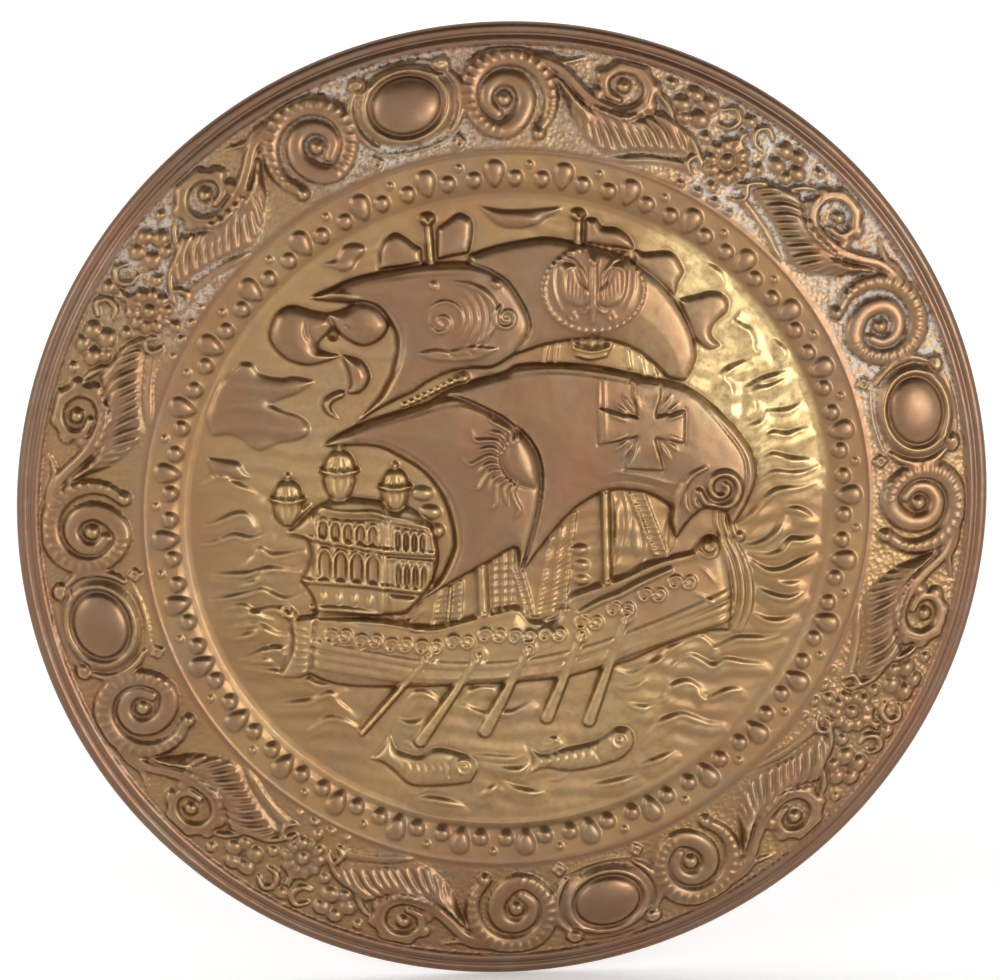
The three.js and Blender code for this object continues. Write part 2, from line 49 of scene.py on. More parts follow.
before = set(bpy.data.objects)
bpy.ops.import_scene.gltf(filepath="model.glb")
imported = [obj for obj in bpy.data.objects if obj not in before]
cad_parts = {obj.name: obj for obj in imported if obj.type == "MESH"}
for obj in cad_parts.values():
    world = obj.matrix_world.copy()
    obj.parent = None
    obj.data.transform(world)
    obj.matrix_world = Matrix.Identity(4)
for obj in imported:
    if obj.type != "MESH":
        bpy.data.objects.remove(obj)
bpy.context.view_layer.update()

# %% [markdown]
# ## A field and the tools that work it
#
# A chaser has a few punches and uses each many times. This part of the notebook makes the same few
# tools: a ridge, a bar, a raised form with an outline, and an oval swelling.
#
# They could be curves and meshes joined by booleans, or strokes in sculpt mode. A field of heights
# is used because pressed sheet has no undercuts, so one height for each point says everything, and
# forms add up without seams. `near` finds the cells round a line, so that each stroke costs only
# its own neighbourhood.


# %% A field of heights
class Field:
    """Heights in millimetres over a rectangle, one value every step."""

    def __init__(self, low, high, step):
        self.step = step
        self.xs = np.arange(low[0], high[0] + step / 2, step)
        self.ys = np.arange(low[1], high[1] + step / 2, step)
        self.z = np.zeros((len(self.ys), len(self.xs)))

    def near(self, line, margin):
        """The cells within the margin of a line: their slices, x and y."""
        low = line.min(axis=0) - margin
        high = line.max(axis=0) + margin
        rows = slice(*np.searchsorted(self.ys, [low[1], high[1]]))
        columns = slice(*np.searchsorted(self.xs, [low[0], high[0]]))
        x, y = np.meshgrid(self.xs[columns], self.ys[rows])
        return (rows, columns), x, y

    def sample(self, x, y, values=None):
        """Values at any points, blended between the four nearest cells."""
        values = self.z if values is None else values
        i = np.clip((x - self.xs[0]) / self.step, 0, len(self.xs) - 1.001)
        j = np.clip((y - self.ys[0]) / self.step, 0, len(self.ys) - 1.001)
        i0, j0 = i.astype(int), j.astype(int)
        u, v = i - i0, j - j0
        low = values[j0, i0] * (1 - u) + values[j0, i0 + 1] * u
        high = values[j0 + 1, i0] * (1 - u) + values[j0 + 1, i0 + 1] * u
        return low * (1 - v) + high * v


trial = Field((-10, -10), (10, 10), CELL)
print("a trial field has", trial.z.size, "cells")


# %% Smooth lines and distances
def curve(points, count=6):
    """A smooth line through the points: on each span a cubic whose slope at a point is half the
    step between that point's neighbours. The two end points stand in for the missing neighbours."""
    p = np.array(points, float)
    ends = np.vstack([p[:1], p, p[-1:]])
    a, b, c, d = ends[:-3], ends[1:-2], ends[2:-1], ends[3:]
    t = np.linspace(0, 1, count, endpoint=False)[:, None, None]
    square_part = a - 2.5 * b + 2 * c - d / 2
    cube_part = 1.5 * b - a / 2 - 1.5 * c + d / 2
    line = b + (c - a) * t / 2 + square_part * t**2 + cube_part * t**3
    return np.vstack([line.transpose(1, 0, 2).reshape(-1, 2), p[-1:]])


def measure(line, x, y):
    """Distance from each cell to the line, and how far along the line its nearest point is, 0 to 1."""
    steps = np.hypot(*np.diff(line, axis=0).T)
    starts = np.concatenate([[0], np.cumsum(steps)])
    gap = np.full(x.shape, np.inf)
    along = np.zeros(x.shape)
    for a, b, start, step in zip(line[:-1], line[1:], starts, steps):
        if step < 1e-9:
            continue
        run = (b - a) / step
        share = np.clip((x - a[0]) * run[0] + (y - a[1]) * run[1], 0, step)
        here = np.hypot(x - a[0] - share * run[0], y - a[1] - share * run[1])
        closer = here < gap
        gap = np.where(closer, here, gap)
        along = np.where(closer, start + share, along)
    return gap, along / starts[-1]


def inside(loop, x, y):
    """True in the cells from which a line to the right crosses the loop an odd number of times."""
    odd = np.zeros(x.shape, bool)
    for a, b in zip(loop[:-1], loop[1:]):
        if a[1] != b[1]:
            reached = x < (b[0] - a[0]) * (y - a[1]) / (b[1] - a[1]) + a[0]
            odd ^= ((a[1] > y) != (b[1] > y)) & reached
    return odd


def closed(runs):
    """Smooth runs of points that meet at corners, as one closed loop."""
    loop = np.vstack([curve(run) for run in runs])
    return np.vstack([loop, loop[:1]])


trial_square = [[(-6, -6), (6, -6)], [(6, -6), (6, 6)], [(6, 6), (-6, 6)], [(-6, 6), (-6, -6)]]
_, trial_x, trial_y = trial.near(closed(trial_square), 4)
print("cells inside a trial square:", inside(closed(trial_square), trial_x, trial_y).sum())


# %% Ridges, bands and bars
def stroke(field, points, width, height, ends=(0.3, 0.3), power=1.5):
    """Adds a ridge along a smooth line, or a groove if the height is negative. Its section is
    (1 - u^2)^power, u being the distance over half the width. The ends shrink to the given shares."""
    line = curve(points)
    place, x, y = field.near(line, width / 2 + field.step)
    gap, along = measure(line, x, y)
    swell = np.interp(along, [0, 0.35, 0.65, 1], [ends[0], 1, 1, ends[1]])
    section = np.clip(1 - (gap / (width / 2 * swell)) ** 2, 0, 1) ** power
    field.z[place] += height * swell * section


def band(field, points, width, height, ends=(0.6, 0.6)):
    """Lays a full rounded ridge along a smooth line wherever it is higher than what is there, so
    that windings of a scroll can touch. Its section is (1 - u^2)^0.4."""
    line = curve(points)
    place, x, y = field.near(line, width / 2 + field.step)
    gap, along = measure(line, x, y)
    swell = np.interp(along, [0, 0.3, 0.7, 1], [ends[0], 1, 1, ends[1]])
    section = np.clip(1 - (gap / (width / 2 * swell)) ** 2, 0, 1) ** 0.4
    field.z[place] = np.maximum(field.z[place], height * (0.5 + 0.5 * swell) * section)


def rod(field, ends, widths, feet, rise):
    """Lays a straight round bar over what is there. Its width and the height of its foot change
    evenly from end to end, and its section is a half oval."""
    line = np.array(ends, float)
    place, x, y = field.near(line, max(widths))
    gap, along = measure(line, x, y)
    half = np.interp(along, [0, 1], widths) / 2
    bar = np.interp(along, [0, 1], feet) + rise * np.sqrt(np.clip(1 - (gap / half) ** 2, 0, 1))
    field.z[place] = np.where(gap < half, bar, field.z[place])


stroke(trial, [(-6, 0), (0, 2), (6, 0)], 3, 1.5)
print("a trial ridge is", round(trial.z.max(), 2), "mm high")


# %% Forms with an outline
def lay_over(field, runs, foot, rise, shoulder, belly=0.0, reach=25.0):
    """Lays a form over what is there. From its outline it rises in a quarter circle as wide as the
    shoulder, then swells by the belly as 1 - exp(-distance / reach). A thin trench runs round it."""
    loop = closed(runs)
    place, x, y = field.near(loop, 5)
    gap, _ = measure(loop, x, y)
    wall = np.sqrt(1 - (1 - np.clip(gap / shoulder, 0, 1)) ** 2)
    form = foot + rise * wall + belly * (1 - np.exp(-gap / reach))
    around = field.z[place] - TRENCH * np.exp(-((gap / 1.3) ** 2))
    field.z[place] = np.where(inside(loop, x, y), form, around)


def raise_shape(field, runs, height, shoulder):
    """Adds a form to what is there, with a rounded shoulder inside its outline."""
    loop = closed(runs)
    place, x, y = field.near(loop, 1)
    gap, _ = measure(loop, x, y)
    wall = np.sqrt(1 - (1 - np.clip(gap / shoulder, 0, 1)) ** 2)
    field.z[place] += np.where(inside(loop, x, y), height * wall, 0)


lay_over(trial, trial_square, 0, 2, 3)
print("a trial form is", round(trial.z.max(), 2), "mm high")


# %% Ovals, spirals and rings
def direction(turn):
    """Cosine and sine of an angle in degrees."""
    return math.cos(math.radians(turn)), math.sin(math.radians(turn))


def oval(field, x0, y0, half_x, half_y, turn):
    """The cells round an oval, and 1 - rho^2 in them, rho being 1 on its edge. turn is in degrees."""
    reach = max(half_x, half_y)
    place, x, y = field.near(np.array([[x0, y0], [x0, y0]], float), reach + field.step)
    c, s = direction(turn)
    u = ((x - x0) * c + (y - y0) * s) / half_x
    v = ((y - y0) * c - (x - x0) * s) / half_y
    return place, np.clip(1 - u**2 - v**2, 0, 1)


def mound(field, x0, y0, half_x, half_y, height, turn=0.0, power=0.8):
    """Adds an oval swelling, height * (1 - rho^2)^power."""
    place, share = oval(field, x0, y0, half_x, half_y, turn)
    field.z[place] += height * share**power


def knob(field, x0, y0, half_x, half_y, height, turn=0.0, power=0.6):
    """Lays an oval swelling wherever it is higher than what is there."""
    place, share = oval(field, x0, y0, half_x, half_y, turn)
    field.z[place] = np.maximum(field.z[place], height * share**power)


def spiral(field, x0, y0, radius, turns, start, width, height, inner=0.2):
    """Adds a ridge that winds inwards, its radius shrinking evenly with the turn, which starts at
    an angle in degrees. Negative turns wind clockwise."""
    t = np.linspace(0, 1, max(6, int(10 * abs(turns))))
    angle = math.radians(start) + 2 * math.pi * turns * t
    r = radius * (1 - (1 - inner) * t)
    points = np.stack([x0 + r * np.cos(angle), y0 + r * np.sin(angle)], axis=1)
    stroke(field, points, width, height, (1, 0.8))


def ring(field, x0, y0, half_x, half_y, width, height):
    """Adds an oval ridge."""
    angle = np.linspace(0, 2 * math.pi, 25)
    points = np.stack([x0 + half_x * np.cos(angle), y0 + half_y * np.sin(angle)], axis=1)
    stroke(field, points, width, height, (1, 1))


mound(trial, 0, 0, 3, 2, 1.0)
print("with a swelling on it:", round(trial.z.max(), 2), "mm")


# %% Small helpers
def strokes(field, width, height, lines, ends=(0.3, 0.3), power=1.5):
    """Several ridges alike."""
    for points in lines:
        stroke(field, points, width, height, ends, power)


def between(a, b, count):
    """Points spaced evenly from a to b."""
    return [tuple(p) for p in np.linspace(a, b, count)]


def sides(corners):
    """The straight sides between neighbouring corners."""
    return [corners[k:k + 2] for k in range(len(corners) - 1)]


def tell(what, field):
    """Prints what was drawn and the highest point of its field."""
    print(what, "drawn, highest", round(float(field.z.max()), 1), "mm")


tell("trial forms", trial)

# %% [markdown]
# ## The dish
#
# Before anything is chased, the disc is spun to a plain profile: a sunk panel, a step up to the
# bead band, a thin ridge, a border that falls away outwards and a hollow moulding.
#
# It could be a profile turned round the axis by the Screw modifier. Here the profile is a function
# of the radius, because the relief is added to it and the colour masks need it too. The rolled edge
# turns back under itself, so it can't be a height. It is added with the surface later on.

# %% The turned profile
# Corners of the profile, each a radius and a height.
DISH_PROFILE = [(0, 7), (198.5, 7), (202, 7.6), (206, 9.7), (209.5, 10.7), (225.5, 12.3), (227.5, 12.9),
                (229.5, 12.5), (231, 12.1), (289, 7.3), (290.5, 7.6), (292, 9), (293.6, 9.7),
                (295.5, 9.2), (297.3, 7.4), (298.5, 6.8)]
PROFILE_STEP = 0.05
profile_r = np.arange(0, FIELD_HALF, PROFILE_STEP)
bell = np.exp(-(np.linspace(-2, 2, 41) ** 2))
corner_radii, corner_heights = zip(*DISH_PROFILE)
sharp = np.interp(np.pad(profile_r, 20, mode="reflect"), corner_radii, corner_heights)
profile_z = np.convolve(sharp, bell / bell.sum(), "valid")
profile_slope = np.gradient(profile_z, PROFILE_STEP)


def dish(ring_radius):
    """Height of the plain turned dish at any radius, its corners rounded over about a millimetre."""
    return np.interp(ring_radius, profile_r, profile_z)


print("dish at 0, 215 and 260 mm:", dish(np.array([0, 215, 260])).round(2), "mm")

# %% The field of the front
panel = Field((-FIELD_HALF, -FIELD_HALF), (FIELD_HALF, FIELD_HALF), CELL)
grid_x, grid_y = np.meshgrid(panel.xs, panel.ys)
radius = np.hypot(grid_x, grid_y)
panel.z[:] = dish(radius)
print("field", panel.z.shape, "heights", panel.z.min(), panel.z.max())

# %% [markdown]
# ## Sky and sea
#
# The ground of the panel is chased with waves round the hull and with drifts of cloud on the right.
#
# They could come from a noise texture, but noise has none of the drawing. So each is a line that
# follows the photograph, with a sharp crest, a broad swell below it and a thin groove above it.
# Lines of their own can also be moved one by one when a render is compared with the photograph.

# %% Lines of sea and sky
LEFT_LINES = [
    [(-191, -4), (-183, -3), (-172, 2), (-164, 2), (-160, -6)],
    [(-194, -16), (-183, -15), (-172, -11), (-162, -13), (-150, -9)],
    [(-169, -31), (-160, -26), (-156, -20), (-149, -24), (-138, -23), (-128, -21)],
    [(-169, -44), (-157, -39), (-152, -29)],
    [(-187, -52), (-171, -50), (-156, -46), (-149, -49), (-140, -52), (-127, -47)],
    [(-178, -58), (-167, -56), (-158, -62), (-148, -65)],
    [(-174, -78), (-163, -75), (-155, -71), (-150, -75)],
    [(-154, -86), (-147, -84), (-139, -83)],
    [(-166, -92), (-155, -91), (-147, -94)],
    [(-165, -96), (-148, -99), (-135, -104), (-128, -104), (-120, -108), (-106, -108)],
    [(-147, -120), (-127, -119), (-119, -116), (-112, -114), (-108, -120), (-100, -126)],
    [(-127, -138), (-120, -133), (-112, -130), (-102, -133), (-94, -138)],
    [(-192, 22), (-180, 26), (-168, 20), (-158, 16)],
    [(-64, -119), (-56, -114), (-45, -119)],
    [(-29, -119), (-19, -111), (-9, -112)],
    [(-29, -123), (-16, -129), (-4, -129), (4, -128), (15, -121)],
    [(-70, -132), (-61, -135), (-53, -131)],
    [(-25, -156), (0, -159), (11, -157)],
    [(-5, -165), (6, -167), (14, -163)],
    [(22, -149), (28, -148), (33, -144)],
    [(-18, -184), (-13, -181), (-7, -176)],
    [(-4, -174), (5, -179), (15, -182), (24, -182)],
    [(-60, -184), (-44, -186), (-28, -190)],
    [(-186, -35), (-166, -36), (-154, -33), (-146, -33), (-129, -35)],
    [(-170, -63), (-148, -58), (-137, -63), (-128, -62)],
    [(-176, -70), (-158, -68), (-146, -75), (-137, -75)],
    [(-170, -91), (-158, -87), (-148, -83), (-140, -89)],
]
RIGHT_LINES = [
    [(68, -101), (80, -104), (96, -95), (104, -87), (113, -82), (121, -80), (128, -84), (131, -88)],
    [(131, -88), (137, -86), (146, -82), (155, -82), (164, -82), (174, -80)],
    [(101, -103), (108, -96), (116, -93), (123, -96), (131, -100), (139, -96), (151, -98), (165, -99)],
    [(95, -123), (101, -120), (104, -114), (109, -111), (115, -110), (121, -113), (122, -118)],
    [(122, -118), (128, -122), (142, -116), (150, -116)],
    [(86, -148), (95, -139), (104, -134), (112, -132), (121, -135), (130, -138), (139, -138)],
    [(76, -124), (87, -127), (94, -124)],
    [(70, -112), (80, -113), (88, -108)],
    [(157, -66), (164, -70), (171, -71), (177, -70), (183, -67)],
    [(171, -45), (178, -47), (186, -45)],
    [(84, -166), (96, -162), (108, -156)],
    [(56, -178), (70, -176), (84, -172)],
]
DRIFT_LINES = [
    [(142, 127), (139, 123), (141, 120), (148, 116), (150, 110), (151, 104), (158, 102)],
    [(150, 98), (142, 95), (135, 91), (132, 86), (137, 82), (138, 66)],
    [(147, 80), (160, 86), (167, 88), (175, 91)],
    [(171, 86), (162, 81), (152, 78), (152, 65), (142, 60)],
    [(160, 65), (173, 65), (182, 70)],
    [(148, 55), (157, 58), (160, 65)],
    [(155, 43), (160, 48), (165, 51), (174, 50), (182, 53), (188, 54)],
    [(156, 30), (159, 34), (165, 37), (171, 36), (178, 34), (189, 34)],
    [(156, 20), (161, 23), (166, 26), (177, 25), (186, 26), (195, 30)],
    [(140, -8), (150, -4), (157, 4), (166, 13), (173, 15), (184, 16), (195, 20)],
    [(175, 2), (182, 2), (191, -2)],
    [(149, -21), (159, -20), (169, -13), (174, -2)],
    [(157, -27), (164, -28), (173, -25), (178, -18), (186, -18), (194, -16)],
    [(151, -29), (159, -35), (166, -38), (175, -37), (183, -33), (195, -27)],
    [(160, -50), (168, -54), (178, -56), (188, -52)],
    [(164, 110), (170, 103), (168, 96)],
    [(120, 158), (128, 152), (131, 146)],
]
print(len(LEFT_LINES), "lines left,", len(RIGHT_LINES), "right and", len(DRIFT_LINES), "of cloud")

# %% Ripples over the ground
RIPPLE_PITCH = 13
RIPPLE_HEIGHT = 0.4
GROUND_RADIUS = 198
# The waves of the two sines keep the ripples from ever being quite level.
level = grid_y + 3 * np.sin(grid_x / 19) + 2.4 * np.sin(grid_x / 11 + grid_y / 37)
fade = np.clip((GROUND_RADIUS - radius) / 10, 0, 1) * (0.6 + 0.4 * np.sin(grid_x / 23 + grid_y / 31))
panel.z += RIPPLE_HEIGHT * fade * np.sin(2 * math.pi * level / RIPPLE_PITCH)
tell("ripples", panel)

# %% Waves and drifts
for line in LEFT_LINES + RIGHT_LINES + DRIFT_LINES:
    strong = 1.3 if line in DRIFT_LINES else 1.0
    below = [(x + 1, y - 4) for x, y in line]
    stroke(panel, below, 15, 1.0 * strong, (0.6, 0.6))
    stroke(panel, line, 5.6, 1.2 * strong, (0.5, 0.4), 1.2)
    stroke(panel, [(x, y + 3.4) for x, y in line], 4.4, -0.35 * strong, (0.4, 0.3))
tell("waves", panel)

# %% Clouds
CLOUDS = [
    [[(-166, 98), (-160, 97), (-155, 91), (-142, 88), (-134, 89), (-121, 86)],
     [(-121, 86), (-131, 79), (-139, 76), (-149, 72)],
     [(-149, 72), (-142, 68), (-130, 64), (-125, 58), (-126, 53), (-133, 49), (-144, 47), (-155, 43),
      (-162, 46), (-167, 50), (-175, 53), (-185, 52)],
     [(-185, 52), (-188, 62), (-184, 75), (-178, 87), (-166, 98)]],
    [[(-188, 39), (-180, 38), (-174, 37), (-168, 35), (-165, 30), (-162, 27), (-156, 26)],
     [(-156, 26), (-170, 25), (-184, 27), (-188, 39)]],
    [[(-117, 158), (-109, 161), (-104, 169), (-97, 171), (-91, 169), (-91, 165), (-95, 161), (-98, 156),
      (-104, 154), (-110, 156), (-117, 158)]],
    [[(-21, 194), (-16, 188), (-9, 182), (2, 180), (13, 182), (20, 186), (27, 190), (30, 193)],
     [(30, 193), (15, 192), (0, 191), (-12, 192), (-21, 194)]],
]
for runs in CLOUDS:
    raise_shape(panel, runs, 2.4, 7)
tell("sky and sea", panel)

# %% [markdown]
# ## Rigging behind the sails
#
# Masts, shrouds with their rungs, netting and furled canvas show between the sails and the hull. On
# the plaque they are ridges pressed from the same sheet.
#
# Round bars could be laid on the sheet as meshes of their own, but they would have undercuts and
# seams that pressed metal hasn't. So they are ridges in the field. They come before the hull and
# the sails, which cover their ends.


# %% Masts, shrouds and netting
def ladder(field, left, right, rungs):
    """Two shrouds and the rungs between them."""
    strokes(field, 2.2, 1.5, [left, right], (1, 1))
    steps = zip(between(left[0], left[-1], rungs), between(right[0], right[-1], rungs))
    strokes(field, 1.7, 1.1, steps, (1, 1))


stroke(panel, [(59.5, 16), (60, 0), (62, -44)], 8, 4.6, (1, 1))
stroke(panel, [(-18, -30), (-16, -64)], 10, 4.2, (1, 1))
ladder(panel, [(26, -14), (18, -64)], [(41, 2), (35, -60)], 17)
stroke(panel, [(33, -8), (27, -62)], 2.0, 1.4, (1, 1))
ladder(panel, [(3, -36), (11, -64)], [(8, -36), (16, -64)], 8)
ladder(panel, [(-44, -48), (-49, -72)], [(-37, -45), (-39, -72)], 8)
ladder(panel, [(-37, -45), (-39, -72)], [(-30, -42), (-31, -72)], 9)
strokes(panel, 2.4, 1.4, [[(-10, -26), (-9, -64)], [(-4, -24), (-3, -62)], [(2, -20), (1, -60)]], (1, 1))
strokes(panel, 1.6, 1.0, [[(-11, y), (3, y + 1)] for y in range(-60, -26, 5)], (1, 1))
for x, y in [(44, -22), (45, -32), (46, -42)]:
    mound(panel, x, y, 6, 3.6, 2.2)
tell("shrouds", panel)

# %% Net and canvas at the bow
# At the bow: a leaning net, and furled canvas as long lens shapes.
ladder(panel, [(75, 13), (92, -26)], [(84, 13), (99.5, -26)], 12)
strokes(panel, 2.4, 1.5, [
    [(64, 15), (67, 2), (67.5, -14), (64, -34)],
    [(71, 15), (74.5, 0), (74, -16), (66, -34)],
    [(99, 4), (103.5, -6), (104, -16), (99, -28)],
    [(79, 8), (84, -8), (86, -22), (83, -36)],
], (0.5, 0.5))
mound(panel, 68.5, -8, 3, 18, 1.6)
mound(panel, 80, -16, 3.4, 14, 1.2, 8)
mound(panel, 100, -11, 2.6, 9, -1.2)
tell("bow net", panel)

# %% [markdown]
# ### Flags, pennants and crown
#
# Two mast tops carry flags that fly to the right, and a small crown stands between the sails. A
# flag could be waved cloth. It is one low form with an outline here, since its folds don't show at
# this size.

# %% Mast tops, flags and pennants
# Top, foot and ball of each mast.
MAST_TOPS = [((-52.5, 183), (-50, 158), (-52.7, 186)), ((40, 186), (40, 170), (39.5, 188.5))]
for top, foot, ball in MAST_TOPS:
    stroke(panel, [top, foot], 6, 3.4, (1, 1))
    mound(panel, *ball, 5.4, 3.8, 4.2)
FLAGS = [
    [[(-82, 155), (-81, 169), (-73, 177), (-65, 174), (-60, 170), (-56, 168)], [(-56, 168), (-55, 158)],
     [(-55, 158), (-82, 155)]],
    [[(-47, 180), (-40, 185), (-34, 189), (-29, 188), (-25, 184), (-25, 175), (-27, 165)],
     [(-27, 165), (-47, 161)], [(-47, 161), (-47, 180)]],
    [[(44, 186), (51, 186), (55, 181), (64, 180), (72, 174), (75, 167)], [(75, 167), (44, 171)],
     [(44, 171), (44, 186)]],
    [[(75, 167), (82, 165), (94, 166), (100, 164), (104, 158), (106, 153), (103, 147), (101, 138)],
     [(101, 138), (88, 148), (75, 158)], [(75, 158), (75, 167)]],
    [[(103, 136), (115, 139), (122, 141), (130, 140), (134, 135), (134, 129), (130, 125), (126, 121),
      (124, 115), (127, 110), (131, 107)], [(131, 107), (122, 105), (113, 112)],
      [(113, 112), (103, 136)]],
]
for runs in FLAGS:
    lay_over(panel, runs, PANEL - 0.5, 3.4, 5, 0.8, 8)
tell("flags", panel)

# %% The crown between the sails
raise_shape(panel, [[(37, 111), (39.5, 102), (49.5, 99), (60, 102), (62, 110)],
                    [(62, 110), (49.5, 107), (37, 111)]], 1.3, 2)
for x in (37, 43, 49.5, 56, 62):
    stroke(panel, [(x, 106), (x, 112)], 2.2, 1.3)
    mound(panel, x, 113 - 0.1 * abs(x - 49.5), 2.5, 2.5, 2.2)
strokes(panel, 2.2, 1.6, [[(38.5, 106), (49.5, 103.5), (61, 106)],
                          [(40, 101.5), (49.5, 99.5), (59, 101.5)]], (1, 1))
strokes(panel, 2.4, 1.8, [[(22, 108), (20, 97)], [(28, 109), (27, 97)], [(72, 105), (74, 93)],
                          [(80, 101), (83, 89)], [(88, 95), (91, 86)]], (1, 1))
tell("rigging", panel)

# %% [markdown]
# ## The hull
#
# The hull is a long swelling form. Thick planks called wales run along it, with a frieze of scrolls
# above them and a bulwark on top.
#
# It could be lofted from ribs and sunk halfway into the sheet. A closed outline laid over the
# ground is simpler, and it has what a punch leaves: a rounded shoulder, a slow swell and a chased
# line all round.

# %% The hull and its planks
HULL = [
    [(-122, -62), (-80, -66), (-50, -71), (-25, -66), (-4, -61), (6, -60), (12, -67), (20, -69),
     (29, -67), (36, -58), (42, -51), (56, -46), (70, -41), (92, -31), (105, -27), (115, -25)],
    [(115, -25), (121, -17), (127, -13.5), (133, -17), (137, -25)],
    [(137, -25), (140, -38), (142, -55), (141, -76)],
    [(141, -76), (130, -76), (115, -80), (95, -87), (78, -95), (60, -99), (29, -106), (-25, -109),
     (-65, -110), (-106, -108), (-126, -100)],
    [(-126, -100), (-124, -82), (-122, -62)],
]
lay_over(panel, [[(-118, -62), (-130, -63), (-137, -66), (-136, -78), (-138, -88), (-145, -102)],
                 [(-145, -102), (-132, -103), (-122, -98)], [(-122, -98), (-118, -62)]], PANEL, 3.6, 4)
for k in range(7):
    stroke(panel, [(-136 - 0.3 * k, -68 - 5 * k), (-126, -72 - 4.4 * k)], 2.2, 1.2)
lay_over(panel, HULL, PANEL, 4.4, 9, 1.4, 20)
WALES = [
    [(-122, -80), (-86, -88), (-50, -94.6), (0, -95.5), (45, -87.5), (75, -77.6), (105, -66), (139, -51)],
    [(-122, -87), (-86, -94), (-50, -101), (0, -101), (45, -94.6), (75, -83), (105, -72), (140, -59)],
    [(-122, -93), (-86, -100), (-50, -105.5), (0, -104.5), (45, -100), (75, -88), (105, -78), (140, -66)],
]
strokes(panel, 6.0, 1.5, WALES, (1, 1), 0.4)
BULWARKS = [
    [(36, -57), (42, -51), (56, -46), (70, -41), (92, -31), (115, -25)],
    [(44, -62), (56, -55.5), (70, -50), (83, -43), (101, -35)],
    [(-121, -64), (-80, -67), (-50, -72), (-25, -66), (-4, -61), (6, -60), (12, -67), (20, -69),
     (36, -60)],
]
strokes(panel, 4.6, 2.2, BULWARKS, (0.8, 0.8), 0.7)
tell("hull", panel)

# %% [markdown]
# ### Frieze and stem
#
# The frieze repeats one motif, a pair of spirals that make an S. So a loop draws the pair, and a
# list says where each stands. At the bow the planks sweep up to a volute.

# %% Frieze
# The frieze: pairs of spirals that make one S each.
FRIEZE = [(-108, -75), (-89, -78.5), (-70, -81.5), (-51, -83), (-31, -80), (-11, -76), (8, -77),
          (27, -76), (50, -68.5), (70, -60), (90, -51), (109, -43)]
for x, y in FRIEZE:
    spiral(panel, x - 4.6, y - 0.6, 5.2, 1.3, 10, 2.5, 1.9)
    spiral(panel, x + 4.6, y + 0.6, 5.2, 1.3, 190, 2.5, 1.9)
strokes(panel, 2.2, 1.2, [[(118, -32), (124, -36), (131, -45)], [(116, -50), (124, -53), (132, -59)],
                          [(-120, -70), (-104, -67.5), (-90, -71)]])
tell("frieze", panel)

# %% Stem and bow volute
# Stem at the bow: parallel ridges that end in a volute.
strokes(panel, 4.2, 2.4, [
    [(143, -18), (149, -30), (153, -43), (154, -55), (152.5, -66), (148, -77)],
    [(138.5, -17), (144.5, -29), (148, -42), (149, -55), (147.5, -66), (144, -76)],
    [(134, -16), (139.5, -29), (143, -42), (144, -55), (142, -72)],
], (0.7, 0.5), 0.8)
knob(panel, 126.5, -20.6, 8.5, 7.5, 14.4)
spiral(panel, 126.5, -20.6, 7, 1.4, 200, 2.6, 1.6)
mound(panel, 146, -15, 3.6, 3.6, 2.8)
strokes(panel, 3.2, 2.0, [[(131, 6), (131, -5), (134, -14)], [(135.5, 6), (135.5, -5), (138.5, -15)],
                          [(140, 4), (140, -5), (143, -14)]], (0.8, 0.8), 0.8)
tell("stem", panel)

# %% [markdown]
# ## The stern castle
#
# The high stern has two decks, rows of round-headed windows, an open arcade and three lanterns.
#
# It could be built as a small house with cut windows. In relief only its face counts, so it is one
# raised block. Decks and frames are ridges on it, and windows are sunk ovals with a ridge round
# them.

# %% The castle and its decks
# The castle: a rounded block with two decks, a roof, windows and an arcade.
CASTLE = [
    [(-119, 8), (-110, 12.6), (-97, 12.6), (-84, 10.8), (-65, 7), (-52, -2)],
    [(-52, -2), (-46, -14), (-45, -30), (-52, -47), (-64, -62)],
    [(-64, -62), (-121, -64)],
    [(-121, -64), (-123, -52), (-131, -39)],
    [(-131, -39), (-126, -30), (-125, -20), (-128, -12), (-138, -9)],
    [(-138, -9), (-132, -3), (-125, 4), (-119, 8)],
]
lay_over(panel, CASTLE, PANEL, 4.2, 6, 0.8, 15)
DECKS = [
    [(-138, -9), (-128, -11), (-106, -15), (-79, -20), (-48, -23)],
    [(-130, -39), (-100, -41), (-75, -44), (-55, -47)],
    [(-124, -57), (-104, -58), (-81, -62)],
]
for line in DECKS:
    stroke(panel, line, 4.6, 2.2, (0.8, 0.8), 0.8)
    stroke(panel, [(x, y - 3.4) for x, y in line], 2.0, -0.8, (0.8, 0.8))
stroke(panel, [(-119, 8), (-110, 5), (-97, 4), (-86, 4), (-75, 1), (-53, -4)], 3.4, 1.8, (0.6, 0.4))
stroke(panel, [(-120, 4), (-108, 1), (-96, 0), (-84, 0), (-74, -3), (-55, -7)], 2.4, -1.4, (0.6, 0.6))
stroke(panel, [(-125, 8), (-131, 2), (-135, -8)], 4, 2.0, (0.8, 0.5))
tell("castle block", panel)


# %% Windows and arcade
def windows(field, left, right, count, width, height):
    """A row of round-headed windows: a sunk pane in a raised frame."""
    lean = (right[1] - left[1]) / (right[0] - left[0])
    for x, y in between(left, right, count):
        half = width / 2
        arch = [(x - half, y - half * lean), (x - half, y + height * 0.7), (x, y + height),
                (x + half, y + height * 0.7), (x + half, y + half * lean)]
        mound(field, x, y + height * 0.42, half * 0.8, height * 0.5, -0.9, 0, 0.4)
        stroke(field, arch, 2.1, 1.9, (1, 1), 1.0)


